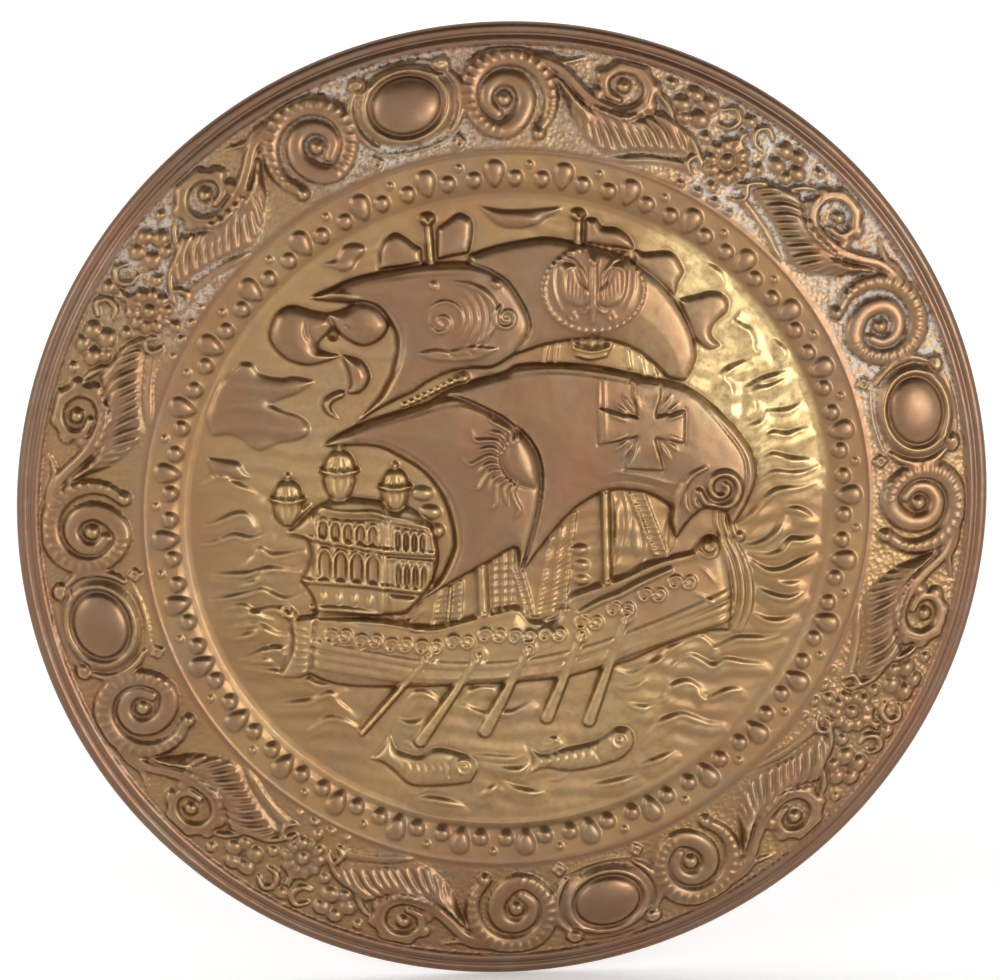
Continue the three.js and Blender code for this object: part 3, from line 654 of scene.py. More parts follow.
windows(panel, (-117, -11.5), (-86, -15.5), 5, 6.2, 11.5)
windows(panel, (-70.5, -19), (-55, -21), 4, 4.2, 12)
windows(panel, (-116, -36.5), (-86, -40), 4, 8.2, 18)
windows(panel, (-70, -42), (-54, -44), 4, 4.2, 14.5)
PILASTERS = [[(-124, 2), (-120, -12)], [(-121, -16), (-122, -38)], [(-101, -16), (-101, -40)],
             [(-110.5, -16), (-111, -39)], [(-91, -18), (-91, -42)]]
strokes(panel, 2.4, 1.5, PILASTERS, (1, 1), 0.8)
FRAME_EDGES = [[(-76, -2), (-51, -6)], [(-76, -2), (-76, -21)], [(-51, -6), (-47, -22)],
               [(-76, -25), (-49, -28)], [(-76, -25), (-76, -44)], [(-49, -28), (-49, -46)]]
strokes(panel, 2.4, 1.6, FRAME_EDGES, (1, 1), 0.8)
stroke(panel, [(-78.5, 6), (-79, -18), (-80, -42), (-80, -60)], 4.4, 1.8, (0.8, 0.8), 0.7)
strokes(panel, 3.0, 1.6, [[(-76, -60), (-69, -67), (-60, -66), (-55, -59)],
                          [(-66, -63), (-60, -72), (-52, -70)]])
for x, y in between((-117, -51), (-88, -54), 4):
    mound(panel, x, y + 1, 2.2, 4.4, 1.5)
raise_shape(panel, [[(-76, -49), (-57, -51)], [(-57, -51), (-62, -58), (-74, -62)],
                    [(-74, -62), (-76, -49)]], 2, 3)
for x, y, half_x in [(-55, 15, 7.5), (-50, 3, 7.5), (-46, -9, 5.5)]:
    mound(panel, x, y, half_x, 5, 2.8, -8)
mound(panel, -136.8, -61.9, 4.2, 4.2, 3)
spiral(panel, -141, -60, 5, 1.2, 0, 2, 1.4)
tell("windows", panel)


# %% Stern lanterns
def lantern(field, x, y, size):
    """A stern lantern: a ribbed bowl, a wide eave, a domed cap and a finial."""
    s = size
    bowl = [(x - 3 * s, y - 16 * s), (x - 7.5 * s, y - 11 * s), (x - 9.5 * s, y - 4 * s), (x - 9 * s, y)]
    eave = [(x - 9 * s, y), (x - 12 * s, y + 1.6 * s), (x - 9 * s, y + 4 * s)]
    cap = [(x - 9 * s, y + 4 * s), (x - 8 * s, y + 9 * s), (x - 4.5 * s, y + 13 * s), (x, y + 14.5 * s)]
    left = [bowl, eave, cap]
    right = [[(2 * x - a, b) for a, b in reversed(run)] for run in reversed(left)]
    lay_over(field, [*left, *right, [right[-1][-1], bowl[0]]], PANEL, 3.8, 4, 1.6, 4)
    stroke(field, [(x - 11 * s, y + 1.8 * s), (x, y + 0.5 * s), (x + 11 * s, y + 1.8 * s)], 3.4, 1.8,
           (0.8, 0.8))
    for lean in (-0.6, -0.2, 0.2, 0.6):
        groove = [(x + 12 * lean * s, y - 2 * s), (x + 11 * lean * s, y - 8 * s),
                  (x + 5 * lean * s, y - 14 * s)]
        stroke(field, groove, 2.0, -1.5, (1, 1))
    for lean in (-0.7, -0.25, 0.25, 0.7):
        stroke(field, [(x + 9 * lean * s, y + 4 * s), (x + 4 * lean * s, y + 12 * s)], 1.7, -1.2,
               (1, 0.6))
    for bead in (-10, -5, 0, 5, 10):
        mound(field, x + bead * s, y + 2.4 * s, 2.2, 2.0, 1.2)
    mound(field, x, y + 16.5 * s, 2.4 * s, 2.8 * s, 3.4)


lantern(panel, -138.5, 10.5, 0.95)
lantern(panel, -106.5, 28, 1.05)
lantern(panel, -72, 18, 0.9)
tell("hull and castle", panel)

# %% [markdown]
# ## Sails
#
# Four sails full of wind, each laid over the one behind. On the plaque a sail is a smooth raised
# field with a rounded shoulder, and its middle stands a little higher.
#
# Cloth simulation could blow up each sail. The sheet shows only a low relief of that, so an outline
# and a slow belly give the same look, and the edge stays exactly where the photograph has it.

# %% Outlines of the four sails
MAIN_TOPSAIL = [
    [(-27, 163.7), (-9, 169.6), (13, 173.6), (24, 174), (36, 171.8), (58, 166.4), (73, 160), (92, 146),
     (108, 124), (115, 102), (109, 85.5)],
    [(109, 85.5), (98, 87), (91, 93.7), (76, 105.4), (56, 111.7), (42, 111.7), (20, 108), (-4, 100)],
    [(-4, 100), (-10, 130), (-27, 150)],
    [(-27, 150), (-27, 163.7)],
]
STERN_TOPSAIL = [
    [(-124, 137.5), (-112, 143), (-100, 148.5), (-88, 152), (-70, 155), (-56, 158), (-40, 159),
     (-27, 158.8), (-16, 156), (-5, 149.4), (2, 141), (10, 126), (10, 115), (1, 102)],
    [(1, 102), (-12, 94.6), (-25, 94.2), (-38, 92), (-52, 85.6), (-61, 79.4), (-70, 75.3), (-86, 67),
     (-96, 60)],
    [(-96, 60), (-81, 77.6), (-72.6, 97), (-71.3, 114.4), (-79.4, 128.7), (-88.3, 134), (-112, 136),
     (-124, 137.5)],
]
MAIN_SAIL = [
    [(-45, 77), (-27, 84.7), (-5, 91), (4.5, 95.5), (28.7, 96.4), (56, 93.7), (83, 88), (108, 82),
     (126, 69.5), (142, 54), (153, 37), (154.7, 22), (148, 4), (140, -8)],
    [(140, -8), (135, 2), (125, 5), (117, 0), (110, -8), (105.4, -15)],
    [(105.4, -15), (101.5, -4), (102, 5)],
    [(102, 5), (88, 13.5), (70, 16.5), (58, 15), (46.7, 9), (37.7, 1.8), (28.7, -8), (15, -26), (9, -35)],
    [(9, -35), (10, 0), (-10, 45), (-45, 66)],
    [(-45, 66), (-45, 77)],
]
STERN_SAIL = [
    [(-116, 45.8), (-108, 52), (-88, 61), (-65, 68.2), (-52, 72), (-45, 75.8), (-34, 76.7), (-16, 69.5),
     (1.8, 59), (13.5, 46.7), (19, 32), (19.3, 14.4), (15.3, -8), (6.3, -36)],
    [(6.3, -36), (3.6, -20), (-14.4, -29.6), (-34, -40.4), (-54.7, -53), (-66, -61)],
    [(-66, -61), (-47.6, -45.8), (-36.8, -25), (-35, -12.6), (-40.4, 9), (-52, 27), (-68.6, 38.6),
     (-85.6, 45.8), (-116, 45.8)],
]
print("four sails with", [len(sail) for sail in (MAIN_TOPSAIL, STERN_TOPSAIL, MAIN_SAIL, STERN_SAIL)],
      "runs")

# %% [markdown]
# ### The upper sail
#
# It bears a bird with spread wings in a dashed ring. The wings are drawn once, for the right side,
# and the loop mirrors them.

# %% The upper sail and its bird
lay_over(panel, MAIN_TOPSAIL, PANEL + 0.5, 3.6, 6, 3.0, 22)

# The bird in a dashed ring, on the upper sail.
BIRD_X, BIRD_Y = 49.5, 143
mound(panel, BIRD_X, BIRD_Y, 33, 28, 0.8, 0, 0.4)
for angle in np.arange(0, 360, 9):
    c, s = direction(angle)
    mound(panel, BIRD_X + 31 * c, BIRD_Y + 26 * s, 2.0, 1.4, 1.3, angle + 90)
for side in (-1, 1):
    wing = [(0, 0), (6, 6), (8, 13), (13, 17), (18, 15), (17, 6), (15, -5), (7, -10), (0, -8)]
    raise_shape(panel, [[(BIRD_X + side * (x + 3), BIRD_Y + y) for x, y in wing + wing[:1]]], 1.5, 3)
    for grow in (1.0, 1.3):
        arch = [(4, -2), (5, 8), (9, 14), (14, 15.5), (19, 11), (19, 0), (15, -9)]
        stroke(panel, [(BIRD_X + side * grow * x, BIRD_Y + grow * y - 1) for x, y in arch], 2.0, 1.3,
               (0.7, 0.5))
    for k in range(5):
        feather = [(BIRD_X + side * (6 + 2.6 * k), BIRD_Y + 8 + k),
                   (BIRD_X + side * (7 + 2.4 * k), BIRD_Y - 9 + k)]
        stroke(panel, feather, 1.5, -1.1, (0.6, 0.6))
    stroke(panel, [(BIRD_X, BIRD_Y - 8), (BIRD_X + side * 6, BIRD_Y - 14),
                   (BIRD_X + side * 9, BIRD_Y - 12)], 2.4, 1.5)
    spiral(panel, BIRD_X + side * 12, BIRD_Y - 17, 3.4, 1.1, 90, 1.6, 1.1)
stroke(panel, [(BIRD_X, BIRD_Y + 16), (BIRD_X, BIRD_Y), (BIRD_X, BIRD_Y - 20)], 7.5, 2.6, (0.6, 0.5))
mound(panel, BIRD_X, BIRD_Y + 18, 3.2, 3.4, 2)
tell("upper sail", panel)

# %% [markdown]
# ### The stern topsail
#
# A scroll with the arcs of a shell fills it. The arcs share one middle, so a loop turns each from a
# size and two angles.

# %% The stern topsail and its shell
# Bead fringe between the sails, then the sail and its scroll of shell arcs.
for x, y in between((-66, 71), (-34, 86.5), 9):
    mound(panel, x, y, 2.4, 2.1, 2.0)
mound(panel, -29.6, 88, 4, 4, 2.6)
lay_over(panel, STERN_TOPSAIL, PANEL + 1, 4.2, 6, 2.8, 24)
stroke(panel, [(-84, 70), (-76, 86), (-69, 98), (-67.4, 115), (-75, 130), (-86, 138)], 2.2, -1.0,
       (0.8, 0.5))
stroke(panel, [(-124, 138), (-112, 141), (-96, 138), (-86, 135)], 5, 1.4)
stroke(panel, [(-96, 146), (-60, 152), (-28, 153), (-12, 149)], 2.0, -0.6)
SHELL_X, SHELL_Y = -42, 125
for size, first, last in [(11, 200, -60), (15, 60, -70), (20, 58, -66), (25, 52, -60), (29, 40, -40)]:
    turns = np.radians(np.linspace(first, last, 9))
    arc = np.stack([SHELL_X + size * np.cos(turns), SHELL_Y + size * np.sin(turns)], axis=1)
    stroke(panel, arc, 2.4, 1.4, (0.4, 0.4))
stroke(panel, [(-40, 148), (-26, 146), (-14, 138), (-10, 125), (-16, 115), (-24, 110)], 5.5, 1.7)
spiral(panel, -4, 126, 8, 1.5, 120, 2.5, 1.7)
spiral(panel, SHELL_X - 2, SHELL_Y - 2, 7, 1.2, 200, 2.4, 1.5)
mound(panel, -10, 147, 4, 3.4, 1.5)
mound(panel, -49, 146, 3, 3, 1.4)
raise_shape(panel, [[(-60, 104), (-48, 107), (-38, 106), (-25, 109), (-8, 107)],
                    [(-8, 107), (-22, 100), (-38, 99), (-50, 100), (-60, 104)]], 1.6, 3)
strokes(panel, 1.7, -1.0, [[(-54, 104), (-38, 102), (-16, 105)], [(-30, 107), (-22, 103)],
                           [(-42, 106), (-34, 101)]])
tell("stern topsail", panel)

# %% [markdown]
# ### The great sail
#
# A cross with spreading arms stands on it, with four short rays in each corner. The right end of
# the sail is furled in a volute.

# %% The great sail
# The great sail: rolled edge, cross with spreading arms, and the furled end as a volute.
lay_over(panel, MAIN_SAIL, PANEL + 0.8, 4.4, 6, 3.0, 26)
stroke(panel, [(118, 72), (132, 57), (145, 40), (148.5, 25), (146, 10), (139.5, -1)], 2.4, -1.4,
       (0.4, 0.8))
stroke(panel, [(122, 31), (113, 26), (107, 17), (104, 7), (103, -5), (105, -13)], 5.6, 2.4, (0.6, 0.6),
       0.9)
spiral(panel, 132.5, 18, 14.5, 1.6, 190, 6.0, 3.2)
strokes(panel, 3.6, 2.0, [[(110, 17), (110, 7), (116, 0)], [(116, 17), (116, 8), (123, 3)]])
stroke(panel, [(57, 25), (64, 28.7), (83, 26), (101, 21), (112, 22)], 2.0, 1.2, (0.5, 0.5))
stroke(panel, [(56, 21), (70, 23), (88, 20), (102, 14)], 2.0, -0.9, (0.5, 0.5))
strokes(panel, 2.0, -0.8, [[(-20, 84), (10, 91), (40, 91), (80, 84), (110, 76)]])
CROSS = [(78, 64), (74, 87), (94, 86), (90, 64.5), (108.5, 68), (108.5, 46.5), (90, 50), (96, 29),
         (71, 30.5), (78, 51), (54, 46), (54, 70), (78, 64)]
raise_shape(panel, sides(CROSS), 1.9, 2.2)
strokes(panel, 1.6, -1.0, sides(CROSS), (1, 1))
for spread in (135, 45, 225, 315):
    for lean in (-24, -8, 8, 24):
        c, s = direction(spread + lean)
        cx, cy = 84 + 13 * c, 57 + 12 * s
        stroke(panel, [(cx, cy), (84 + 26 * c, 57 + 26 * s)], 2.3, 1.7)
strokes(panel, 1.9, 1.2, [[(54, 86), (54, 52)], [(57, 88), (58, 50)]], (0.5, 0.4))
tell("great sail", panel)

# %% [markdown]
# ### The lateen sail
#
# It is nearest to the viewer and has half a sun at its right edge. Long and short rays take turns,
# and each is a line bent by a sine.

# %% The lateen sail and its half sun
# The lateen sail in front: rope edge and half a sun with wavy rays.
lay_over(panel, STERN_SAIL, PANEL + 1.2, 4.6, 6, 2.6, 26)
stroke(panel, [(-60, -57), (-43, -45), (-32.5, -26), (-31, -12), (-36, 10), (-49, 29), (-66, 42),
               (-84, 49), (-106, 49)], 2.0, -1.1, (0.7, 0.4))
stroke(panel, [(-100, 54), (-65, 64), (-34, 72), (-14, 65), (2, 54)], 2.0, -0.7)
SUN = [[(4, 54), (9, 47), (13.5, 38), (15.5, 28), (15.5, 20.5)], [(15.5, 20.5), (5.4, 23.4), (-1.5, 31),
       (-3.6, 41), (-1, 49), (4, 54)]]
raise_shape(panel, SUN, 2.5, 8)
stroke(panel, [(1, 55), (-5, 49), (-7, 40), (-4, 30), (3, 22), (15, 18)], 2.2, -1.6, (0.6, 0.6))
for k, angle in enumerate(np.linspace(104, 262, 12)):
    a = math.radians(angle)
    reach = 38 if k % 2 else 30
    wave = [(6 + r * math.cos(a + 0.13 * math.sin(r / 4)), 36 + r * math.sin(a + 0.13 * math.sin(r / 4)))
            for r in np.linspace(14, reach, 5)]
    stroke(panel, wave, 3.2, 1.8, (1, 0.2))
tell("sails", panel)

# %% [markdown]
# ## Streamer, oars and fish
#
# A curled streamer flies at the left, five oars reach into the sea, and two fish swim below them.
#
# They could be one modelled fish and one oar, copied and bent. Each fish has its own pose on the
# plaque, so both are drawn. The oars are alike but for their place, so one function makes them.

# %% Streamer
STREAMER = [
    [[(-149, 119), (-145, 128), (-135, 133), (-122, 129.5), (-112, 128)],
     [(-112, 128), (-110, 120), (-120, 108), (-113, 103.5), (-104, 102)],
     [(-104, 102), (-115, 98), (-126, 96), (-137, 99), (-144.5, 105), (-149, 112), (-149, 119)]],
    [[(-114, 128), (-103, 131), (-95, 135.5), (-89, 135.5), (-82, 131.5), (-77, 125), (-76, 120),
      (-79, 114), (-85, 109.5), (-92, 108), (-99, 110.5), (-107, 116.5), (-114, 128)]],
    [[(-105, 102.5), (-93, 99), (-88, 91.5), (-88, 86), (-92, 80), (-98, 78), (-105.5, 80.5)],
     [(-105.5, 80.5), (-112, 78), (-117, 73), (-115, 66.5), (-106, 61.5)],
     [(-106, 61.5), (-111, 68), (-110, 73), (-104, 76)],
     [(-104, 76), (-100, 84), (-101, 92), (-105, 102.5)]],
]
for runs in STREAMER:
    lay_over(panel, runs, PANEL, 3.2, 7, 3.2, 9)
strokes(panel, 2.4, -1.6, [[(-125, 124), (-124, 115), (-120.6, 109), (-114, 105)],
                           [(-104, 122), (-98, 118)],
                           [(-128, 126), (-127, 116), (-123, 108)]])
mound(panel, -110, 115, 4, 4, -3)
tell("streamer", panel)

# %% Oars
# Port in the hull, far end and width of the blade.
OARS = [((-50.3, -88.8), (-92.8, -139.5), 3.6), ((-18.8, -88.8), (-55.6, -145.8), 7.5),
        ((12.6, -84.7), (-14.4, -139.5), 8.5), ((45.8, -75.8), (25, -131.4), 8),
        ((74, -64.6), (52, -134), 8)]
for port, end, blade in OARS:
    rod(panel, (port, end), (4.4, blade + 0.8), (12.4, 8.2), 2.4)
    knob(panel, *port, 5.4, 5.4, 14.6)
    ring(panel, *port, 4.2, 4.2, 2.0, 1.2)
tell("oars", panel)

# %% Fish
FISH = [
    [[(-88, -157.5), (-80, -150), (-75, -141)], [(-75, -141), (-72, -150), (-67.7, -153), (-56.5, -156),
      (-45, -151), (-31.4, -154), (-21.5, -159), (-18.8, -165.5), (-23, -174.5)],
     [(-23, -174.5), (-39.5, -176.3), (-61, -175.4), (-72, -166), (-79.4, -160), (-88, -157.5)]],
    [[(12.6, -151), (22, -156), (34, -153), (45, -151), (55.6, -148.5), (63, -144), (70.4, -139),
      (78.5, -140.4), (81.6, -147.6), (80, -154)], [(80, -154), (74, -160), (64.6, -163.7), (51, -167),
                                                    (37.7, -168), (24, -166),
      (10.8, -171)], [(10.8, -171), (17, -161), (12.6, -151)]],
]
for runs in FISH:
    lay_over(panel, runs, PANEL - 0.5, 3.0, 6, 1.6, 8)
for x0, y0, run, lean in [(-66, -164, 34, -0.05), (22, -161, 38, 0.15)]:
    for k in range(7):
        x = x0 + run * k / 7
        y = y0 + lean * (x - x0)
        stroke(panel, [(x - 3, y + 7), (x + 1, y), (x - 3, y - 7)], 1.8, -0.9)
strokes(panel, 2.0, -1.1, [[(-34, -154), (-38, -164), (-34, -175)], [(60, -146), (57, -155), (62, -164)]])
ring(panel, -28, -163, 4.4, 4.4, 2, 1.4)
ring(panel, 71.5, -147, 4.8, 4.8, 2, 1.4)
mound(panel, -28, -163, 2, 2, 1.4)
mound(panel, 71.5, -147, 2.2, 2.2, 1.4)
strokes(panel, 2.0, 1.2, [[(-58, -155), (-62, -148), (-68, -147)],
                          [(-50, -176), (-56, -181), (-64, -181)],
                          [(36, -152), (30, -146), (22, -146)], [(40, -168), (34, -173), (24, -174)]])
tell("streamer, oars and fish", panel)

# %% [markdown]
# ## The bead band
#
# A band of punched beads rings the panel: 32 groups of a large drop with a middling one on each
# side, and a small bead between the groups.
#
# Copies round a circle could be made by an Array modifier. In a field it is shorter to fold the
# plane: every cell is moved into one half group by its angle, and the group is drawn once. `side`
# is how far a cell lies from the axis of its group, along the band.

# %% One bead group, repeated
BEAD_GROUPS = 32
BEAD_RADIUS = 214
GROUP = 2 * math.pi / BEAD_GROUPS
clockwise = np.arctan2(grid_x, grid_y)
side = np.abs((clockwise - FIRST_BOSS + GROUP / 2) % GROUP - GROUP / 2) * BEAD_RADIUS


def drop(centre_side, centre_radius, half_width, half_length, height, egg=0.0, power=0.45):
    """An egg-shaped swelling: half_width grows by the share egg towards the outer end. Its height is
    height * (1 - u^2 - v^2)^power, with u across the drop and v along it."""
    v = (radius - centre_radius) / half_length
    u = (side - centre_side) / (half_width * (1 + egg * v))
    return height * np.clip(1 - u**2 - v**2, 0, 1) ** power


beads = (drop(0, 214.2, 5.8, 8.4, 2.7, 0.35) + drop(12.7, 211, 4.9, 5.0, 2.4, 0.15)
         + drop(21.0, 219.6, 2.4, 2.4, 1.5))
panel.z += beads
print("beads drawn, highest", round(panel.z[beads > 0].max(), 1))

# %% [markdown]
# ## The border
#
# Scrolls, feathered leaves and flowers run round the border between four plain oval bosses.
#
# The whole border could be drawn, or a quarter of it could be a mesh that is copied. It is folded
# here like the bead band: four quarters, and in each the right half mirrors the left. One half is
# drawn in a field of its own, with x the arc length from the axis of a boss, measured at radius
# 262, and y the radius.
#
# The boss comes first: a smooth oval in two rings, with a small scroll beside it.

# %% An oval boss
ARC_RADIUS = 262
border = Field((-30, 226), (236, 292), 0.4)
raise_shape(border, [[(-31, 263), (-22, 281), (0, 288), (22, 281), (31, 263), (22, 245), (0, 238),
                      (-22, 245), (-31, 263)]], 2.6, 4)
ring(border, 0, 263, 25.5, 20.8, 5, 1.8)
ring(border, 0, 263, 21.8, 17.5, 3, -0.6)
mound(border, 0, 263, 20.8, 16.6, 4.6, 0, 0.5)
strokes(border, 3.2, 1.8, [[(-24, 239), (-12, 236), (0, 235), (12, 236), (24, 239)],
                           [(-22, 284), (-14, 287), (0, 288.5), (14, 287), (22, 284)]], (0.8, 0.8))
knob(border, 24, 283, 6, 5, 4.4)
spiral(border, 24, 282.5, 6.5, 1.2, 200, 2.6, 1.4)
band(border, [(27, 279), (33, 270), (33.5, 258), (30, 249), (25, 243)], 6, 3.4)
knob(border, 39, 268, 4.6, 3.4, 3)
STUD = [(23, 235.5), (28.5, 241), (34, 235.5), (28.5, 230), (23, 235.5)]
raise_shape(border, sides(STUD), 2.6, 1.6)
mound(border, 28.5, 235.5, 2.4, 2.4, -1.4)
mound(border, 35, 246, 4, 6, -1.0)
tell("boss", border)

# %% [markdown]
# ### Volutes and stem
#
# A volute is a band that winds in to an eye. A formula for the spiral would be neat, but these were
# chased by eye and are a little oval. So they are smooth lines through points. `band` keeps the
# higher of two windings where they touch.

# %% The large volute
# The large volute: one band that starts at a knob, runs over the top and winds in to an eye. Short
# raised ticks cross its outer half.
SWEEP = [(82, 241), (87.5, 250), (88, 262), (82, 275), (71, 283), (58, 284.5), (46, 279), (39.5, 268),
         (40, 255), (47, 245), (58, 241), (68, 246), (73, 257), (69, 268), (59, 271.5), (50.5, 266),
         (49, 257), (55, 250.5)]
band(border, SWEEP, 13, 3.9, (0.6, 0.6))
sweep_line = curve(SWEEP, 5)
for a, b in zip(sweep_line[5:50:2], sweep_line[6:51:2]):
    outward = np.array([b[1] - a[1], a[0] - b[0]]) / math.dist(a, b)
    stroke(border, [a - 1.0 * outward, a + 4.6 * outward], 1.9, 1.0, (1, 1))
knob(border, 59.5, 259, 5.4, 5.4, 4.6)
knob(border, 82, 239, 5.2, 4.8, 4.6)
tell("large volute", border)

# %% The stem and the small volute
# The stem leaves the volute, passes under the small volute and curls round it to a knob.
STEM = [(74, 284), (91, 279), (103, 269), (113, 262.5), (124, 259.5), (136, 259.5), (144.5, 267),
        (144.5, 278), (136, 285.5), (125, 284.5), (118.5, 277), (121, 268.5), (129, 266)]
band(border, STEM, 8.6, 4.0, (0.7, 0.6))
stroke(border, STEM, 1.5, -0.8, (0.6, 0.4))
knob(border, 130, 274.5, 4.8, 4.6, 4.2)
for angle in range(-20, 201, 44):
    c, s = direction(angle)
    knob(border, 132 + 17 * c, 272.5 + 15 * s, 5.4, 4.4, 3.6, angle + 90)
band(border, [(75, 287), (86, 285), (94, 282.5), (105, 286.5)], 4, 2.6, (0.6, 0.3))
tell("stem", border)

# %% [markdown]
# ### Leaf and flowers
#
# The feathered leaf is a low body crossed by close ribs. The ribs run between two smooth lines, one
# through their tops and one through their feet, so that they stay evenly spaced as the leaf bends.
# The flowers are groups of round knobs.

# %% The feathered leaf
# The feathered leaf: a low body crossed by close diagonal ribs, then the plain leaf below it.
raise_shape(border, [[(86, 278), (95, 264), (102, 251), (113.6, 239.4), (125, 233.7), (134, 233.5),
                      (149, 239.6), (168, 245), (183, 249)], [(183, 249), (176, 260), (156, 268)],
                     [(156, 268), (142, 258), (124, 256), (110, 259), (100, 266), (86, 278)]], 1.9, 4)
RIB_TOPS = [(91, 273), (104, 261), (121, 257.5), (140, 259), (157, 266)]
RIB_FEET = [(104, 249), (124, 236.5), (146, 241), (161, 246.5), (180, 253)]
for top, foot in zip(curve(RIB_TOPS, 3), curve(RIB_FEET, 3)):
    halfway = (top + foot) / 2 + (1.4, 1.8)
    stroke(border, [top, halfway, foot], 4.9, 2.4, (0.8, 0.5), 0.8)
raise_shape(border, [[(132, 230.5), (142, 235), (154, 239), (168, 242), (182, 245), (193, 239)],
                     [(193, 239), (180, 238.5), (166, 236.5), (154, 233), (142, 229.5), (132, 230.5)]],
                     2.0, 3)
stroke(border, [(136, 231.5), (150, 235.5), (168, 239.5), (187, 241)], 1.4, -0.8)
tell("leaf", border)

# %% The flower group
# The flower group on the far axis, shared with the mirrored half.
# A knob is its place, half its width and length, and its height.
FLOWER_KNOBS = [
    (166, 276, 6.2, 5.6, 3.8), (171, 284, 5.6, 5, 3.6), (180, 282, 6, 5.6, 3.8),
    (179, 272, 6.4, 5.8, 3.6), (170, 269, 5, 4.6, 3.2), (206, 285, 5, 4.5, 3.2),
    (156, 285, 3.6, 3.4, 2.8), (199, 231.5, 4.4, 3.6, 2.6), (186, 231, 3.4, 3, 2.2),
    (206, 239, 4.6, 4.6, 3.0), (187, 263, 4.4, 4, 3.0),
]
for x, y, half_x, half_y, height in FLOWER_KNOBS:
    knob(border, x, y, half_x, half_y, height)
knob(border, 206, 257, 5.6, 5.6, 4.8)
for angle in range(90, 271, 36):
    c, s = direction(angle)
    knob(border, 206 + 10 * c, 257 + 10 * s, 5.6, 4.4, 3.6, angle)
CURLS = [
    [(172, 262), (183, 256), (193, 246)], [(189, 283), (195, 287), (200, 282), (197, 275), (191, 274)],
    [(188, 240), (183, 245), (187, 251), (193, 249)], [(200, 268), (206, 272), (204, 278)],
    [(152, 276), (158, 272), (165, 264)],
]
for points in CURLS:
    band(border, points, 4.6, 3.2)
tell("flowers", border)

# %% All four quarters
QUARTER = math.pi / 2
arc = np.abs((clockwise - FIRST_BOSS + QUARTER / 2) % QUARTER - QUARTER / 2) * ARC_RADIUS
in_border = np.clip((radius - 229.5) / 2, 0, 1) * np.clip((290.5 - radius) / 1.5, 0, 1)
carved = border.sample(arc, radius) * in_border
panel.z += carved
print("border drawn, highest carving", round(carved.max(), 1))

# %% [markdown]
# ## Softened metal
#
# Sheet metal can't hold a knife edge, because the punch only reaches it through the sheet's
# thickness. Dirt then stays in the hollows and polish wears the crests.
#
# The edges could be rounded by a Smooth modifier, but that would also shrink the small forms. The
# field is blurred a little instead. The difference between it and a wider blur tells hollows from
# crests, and the brass uses both.


# %% Blur, hollows and crests
def blur(values, reach_mm):
    """Three box averages in each direction, close to a Gaussian blur. Box averages are differences
    of running sums."""
    half = max(1, round(reach_mm / panel.step / 1.7))
    for axis in (0, 1):
        for _ in range(3):
            pad = [(half + 1, half) if a == axis else (0, 0) for a in (0, 1)]
            total = np.cumsum(np.pad(values, pad, mode="edge"), axis=axis)
            size = values.shape[axis]
            first = np.take(total, range(2 * half + 1, 2 * half + 1 + size), axis=axis)
            last = np.take(total, range(size), axis=axis)
            values = (first - last) / (2 * half + 1)
    return values


relief = np.minimum(blur(panel.z - dish(radius), 0.45), HIGHEST - dish(radius))
small_scale = relief - blur(relief, 2.4)
hollow = np.clip(-small_scale / 1.4 - 0.16, 0, 1)
crest = np.clip(small_scale / 1.2, 0, 1)
slope_y, slope_x = np.gradient(relief, panel.step)
print("relief", round(relief.min(), 2), "to", round(relief.max(), 2))

# %% [markdown]
# ### The back
#
# Nothing of the back shows in the photograph. On pressed sheet it follows the front, and small
# forms don't reach through. So it takes the lowest nearby points of the front, a sheet thickness
# behind.

# %% The back of the sheet
BACK_ROUNDS = 5
lowest = relief
for _ in range(BACK_ROUNDS):
    lowest = np.minimum(lowest, np.roll(lowest, 1, 0))
    lowest = np.minimum(lowest, np.roll(lowest, -1, 0))
    lowest = np.minimum(lowest, np.roll(lowest, 1, 1))
    lowest = np.minimum(lowest, np.roll(lowest, -1, 1))
behind = blur(lowest, 1.5) - SHEET
print("back", round(behind.min(), 2), "to", round(behind.max(), 2), "mm from the plain dish")

# %% [markdown]
# ## From field to surface
#
# The field now has to become a closed sheet with a front, a back and the rolled edge.
#
# A displaced grid would be quick, but its squares run across the round edge in steps. So the
# surface is made of rings of vertices round the centre. A ring is a row of (radius, count, height),
# and most heights are the dish plus the relief. Towards the centre the number of vertices in a ring
# halves again and again, so that they stay evenly spaced.

# %% Points and faces of a ring
ROLL_RADIUS, ROLL_CENTRE, ROLL_HEIGHT = 4.1, 300.7, 4.2
SEAM = 204.4  # the two pieces meet at this radius, in the step round the panel
FINE = 2048  # vertices in a ring of the front
MIDDLING = 512
COARSE = 256
RING_STEP = 0.75
ROLL_START = 297.4


def ring_points(ring_radius, count):
    """x and y of count points round a circle, clockwise from the top."""
    turn = np.arange(count) * 2 * math.pi / count
    return ring_radius * np.sin(turn), ring_radius * np.cos(turn)


def make_rings(rows):
    """Vertices of all rings, and where each ring starts. A row is (radius, count, height), and the
    height is a number, or the array of relief to add to the dish."""
    vertices, starts, total = [], [], 0
    for ring_radius, count, height in rows:
        x, y = ring_points(ring_radius, count)
        if np.isscalar(height):
            z = np.full(count, height)
        else:
            z = dish(ring_radius) + panel.sample(x, y, height)
        vertices.append(np.stack([x, y, z], axis=1))
        starts.append(total)
        total += count
    return np.vstack(vertices), starts


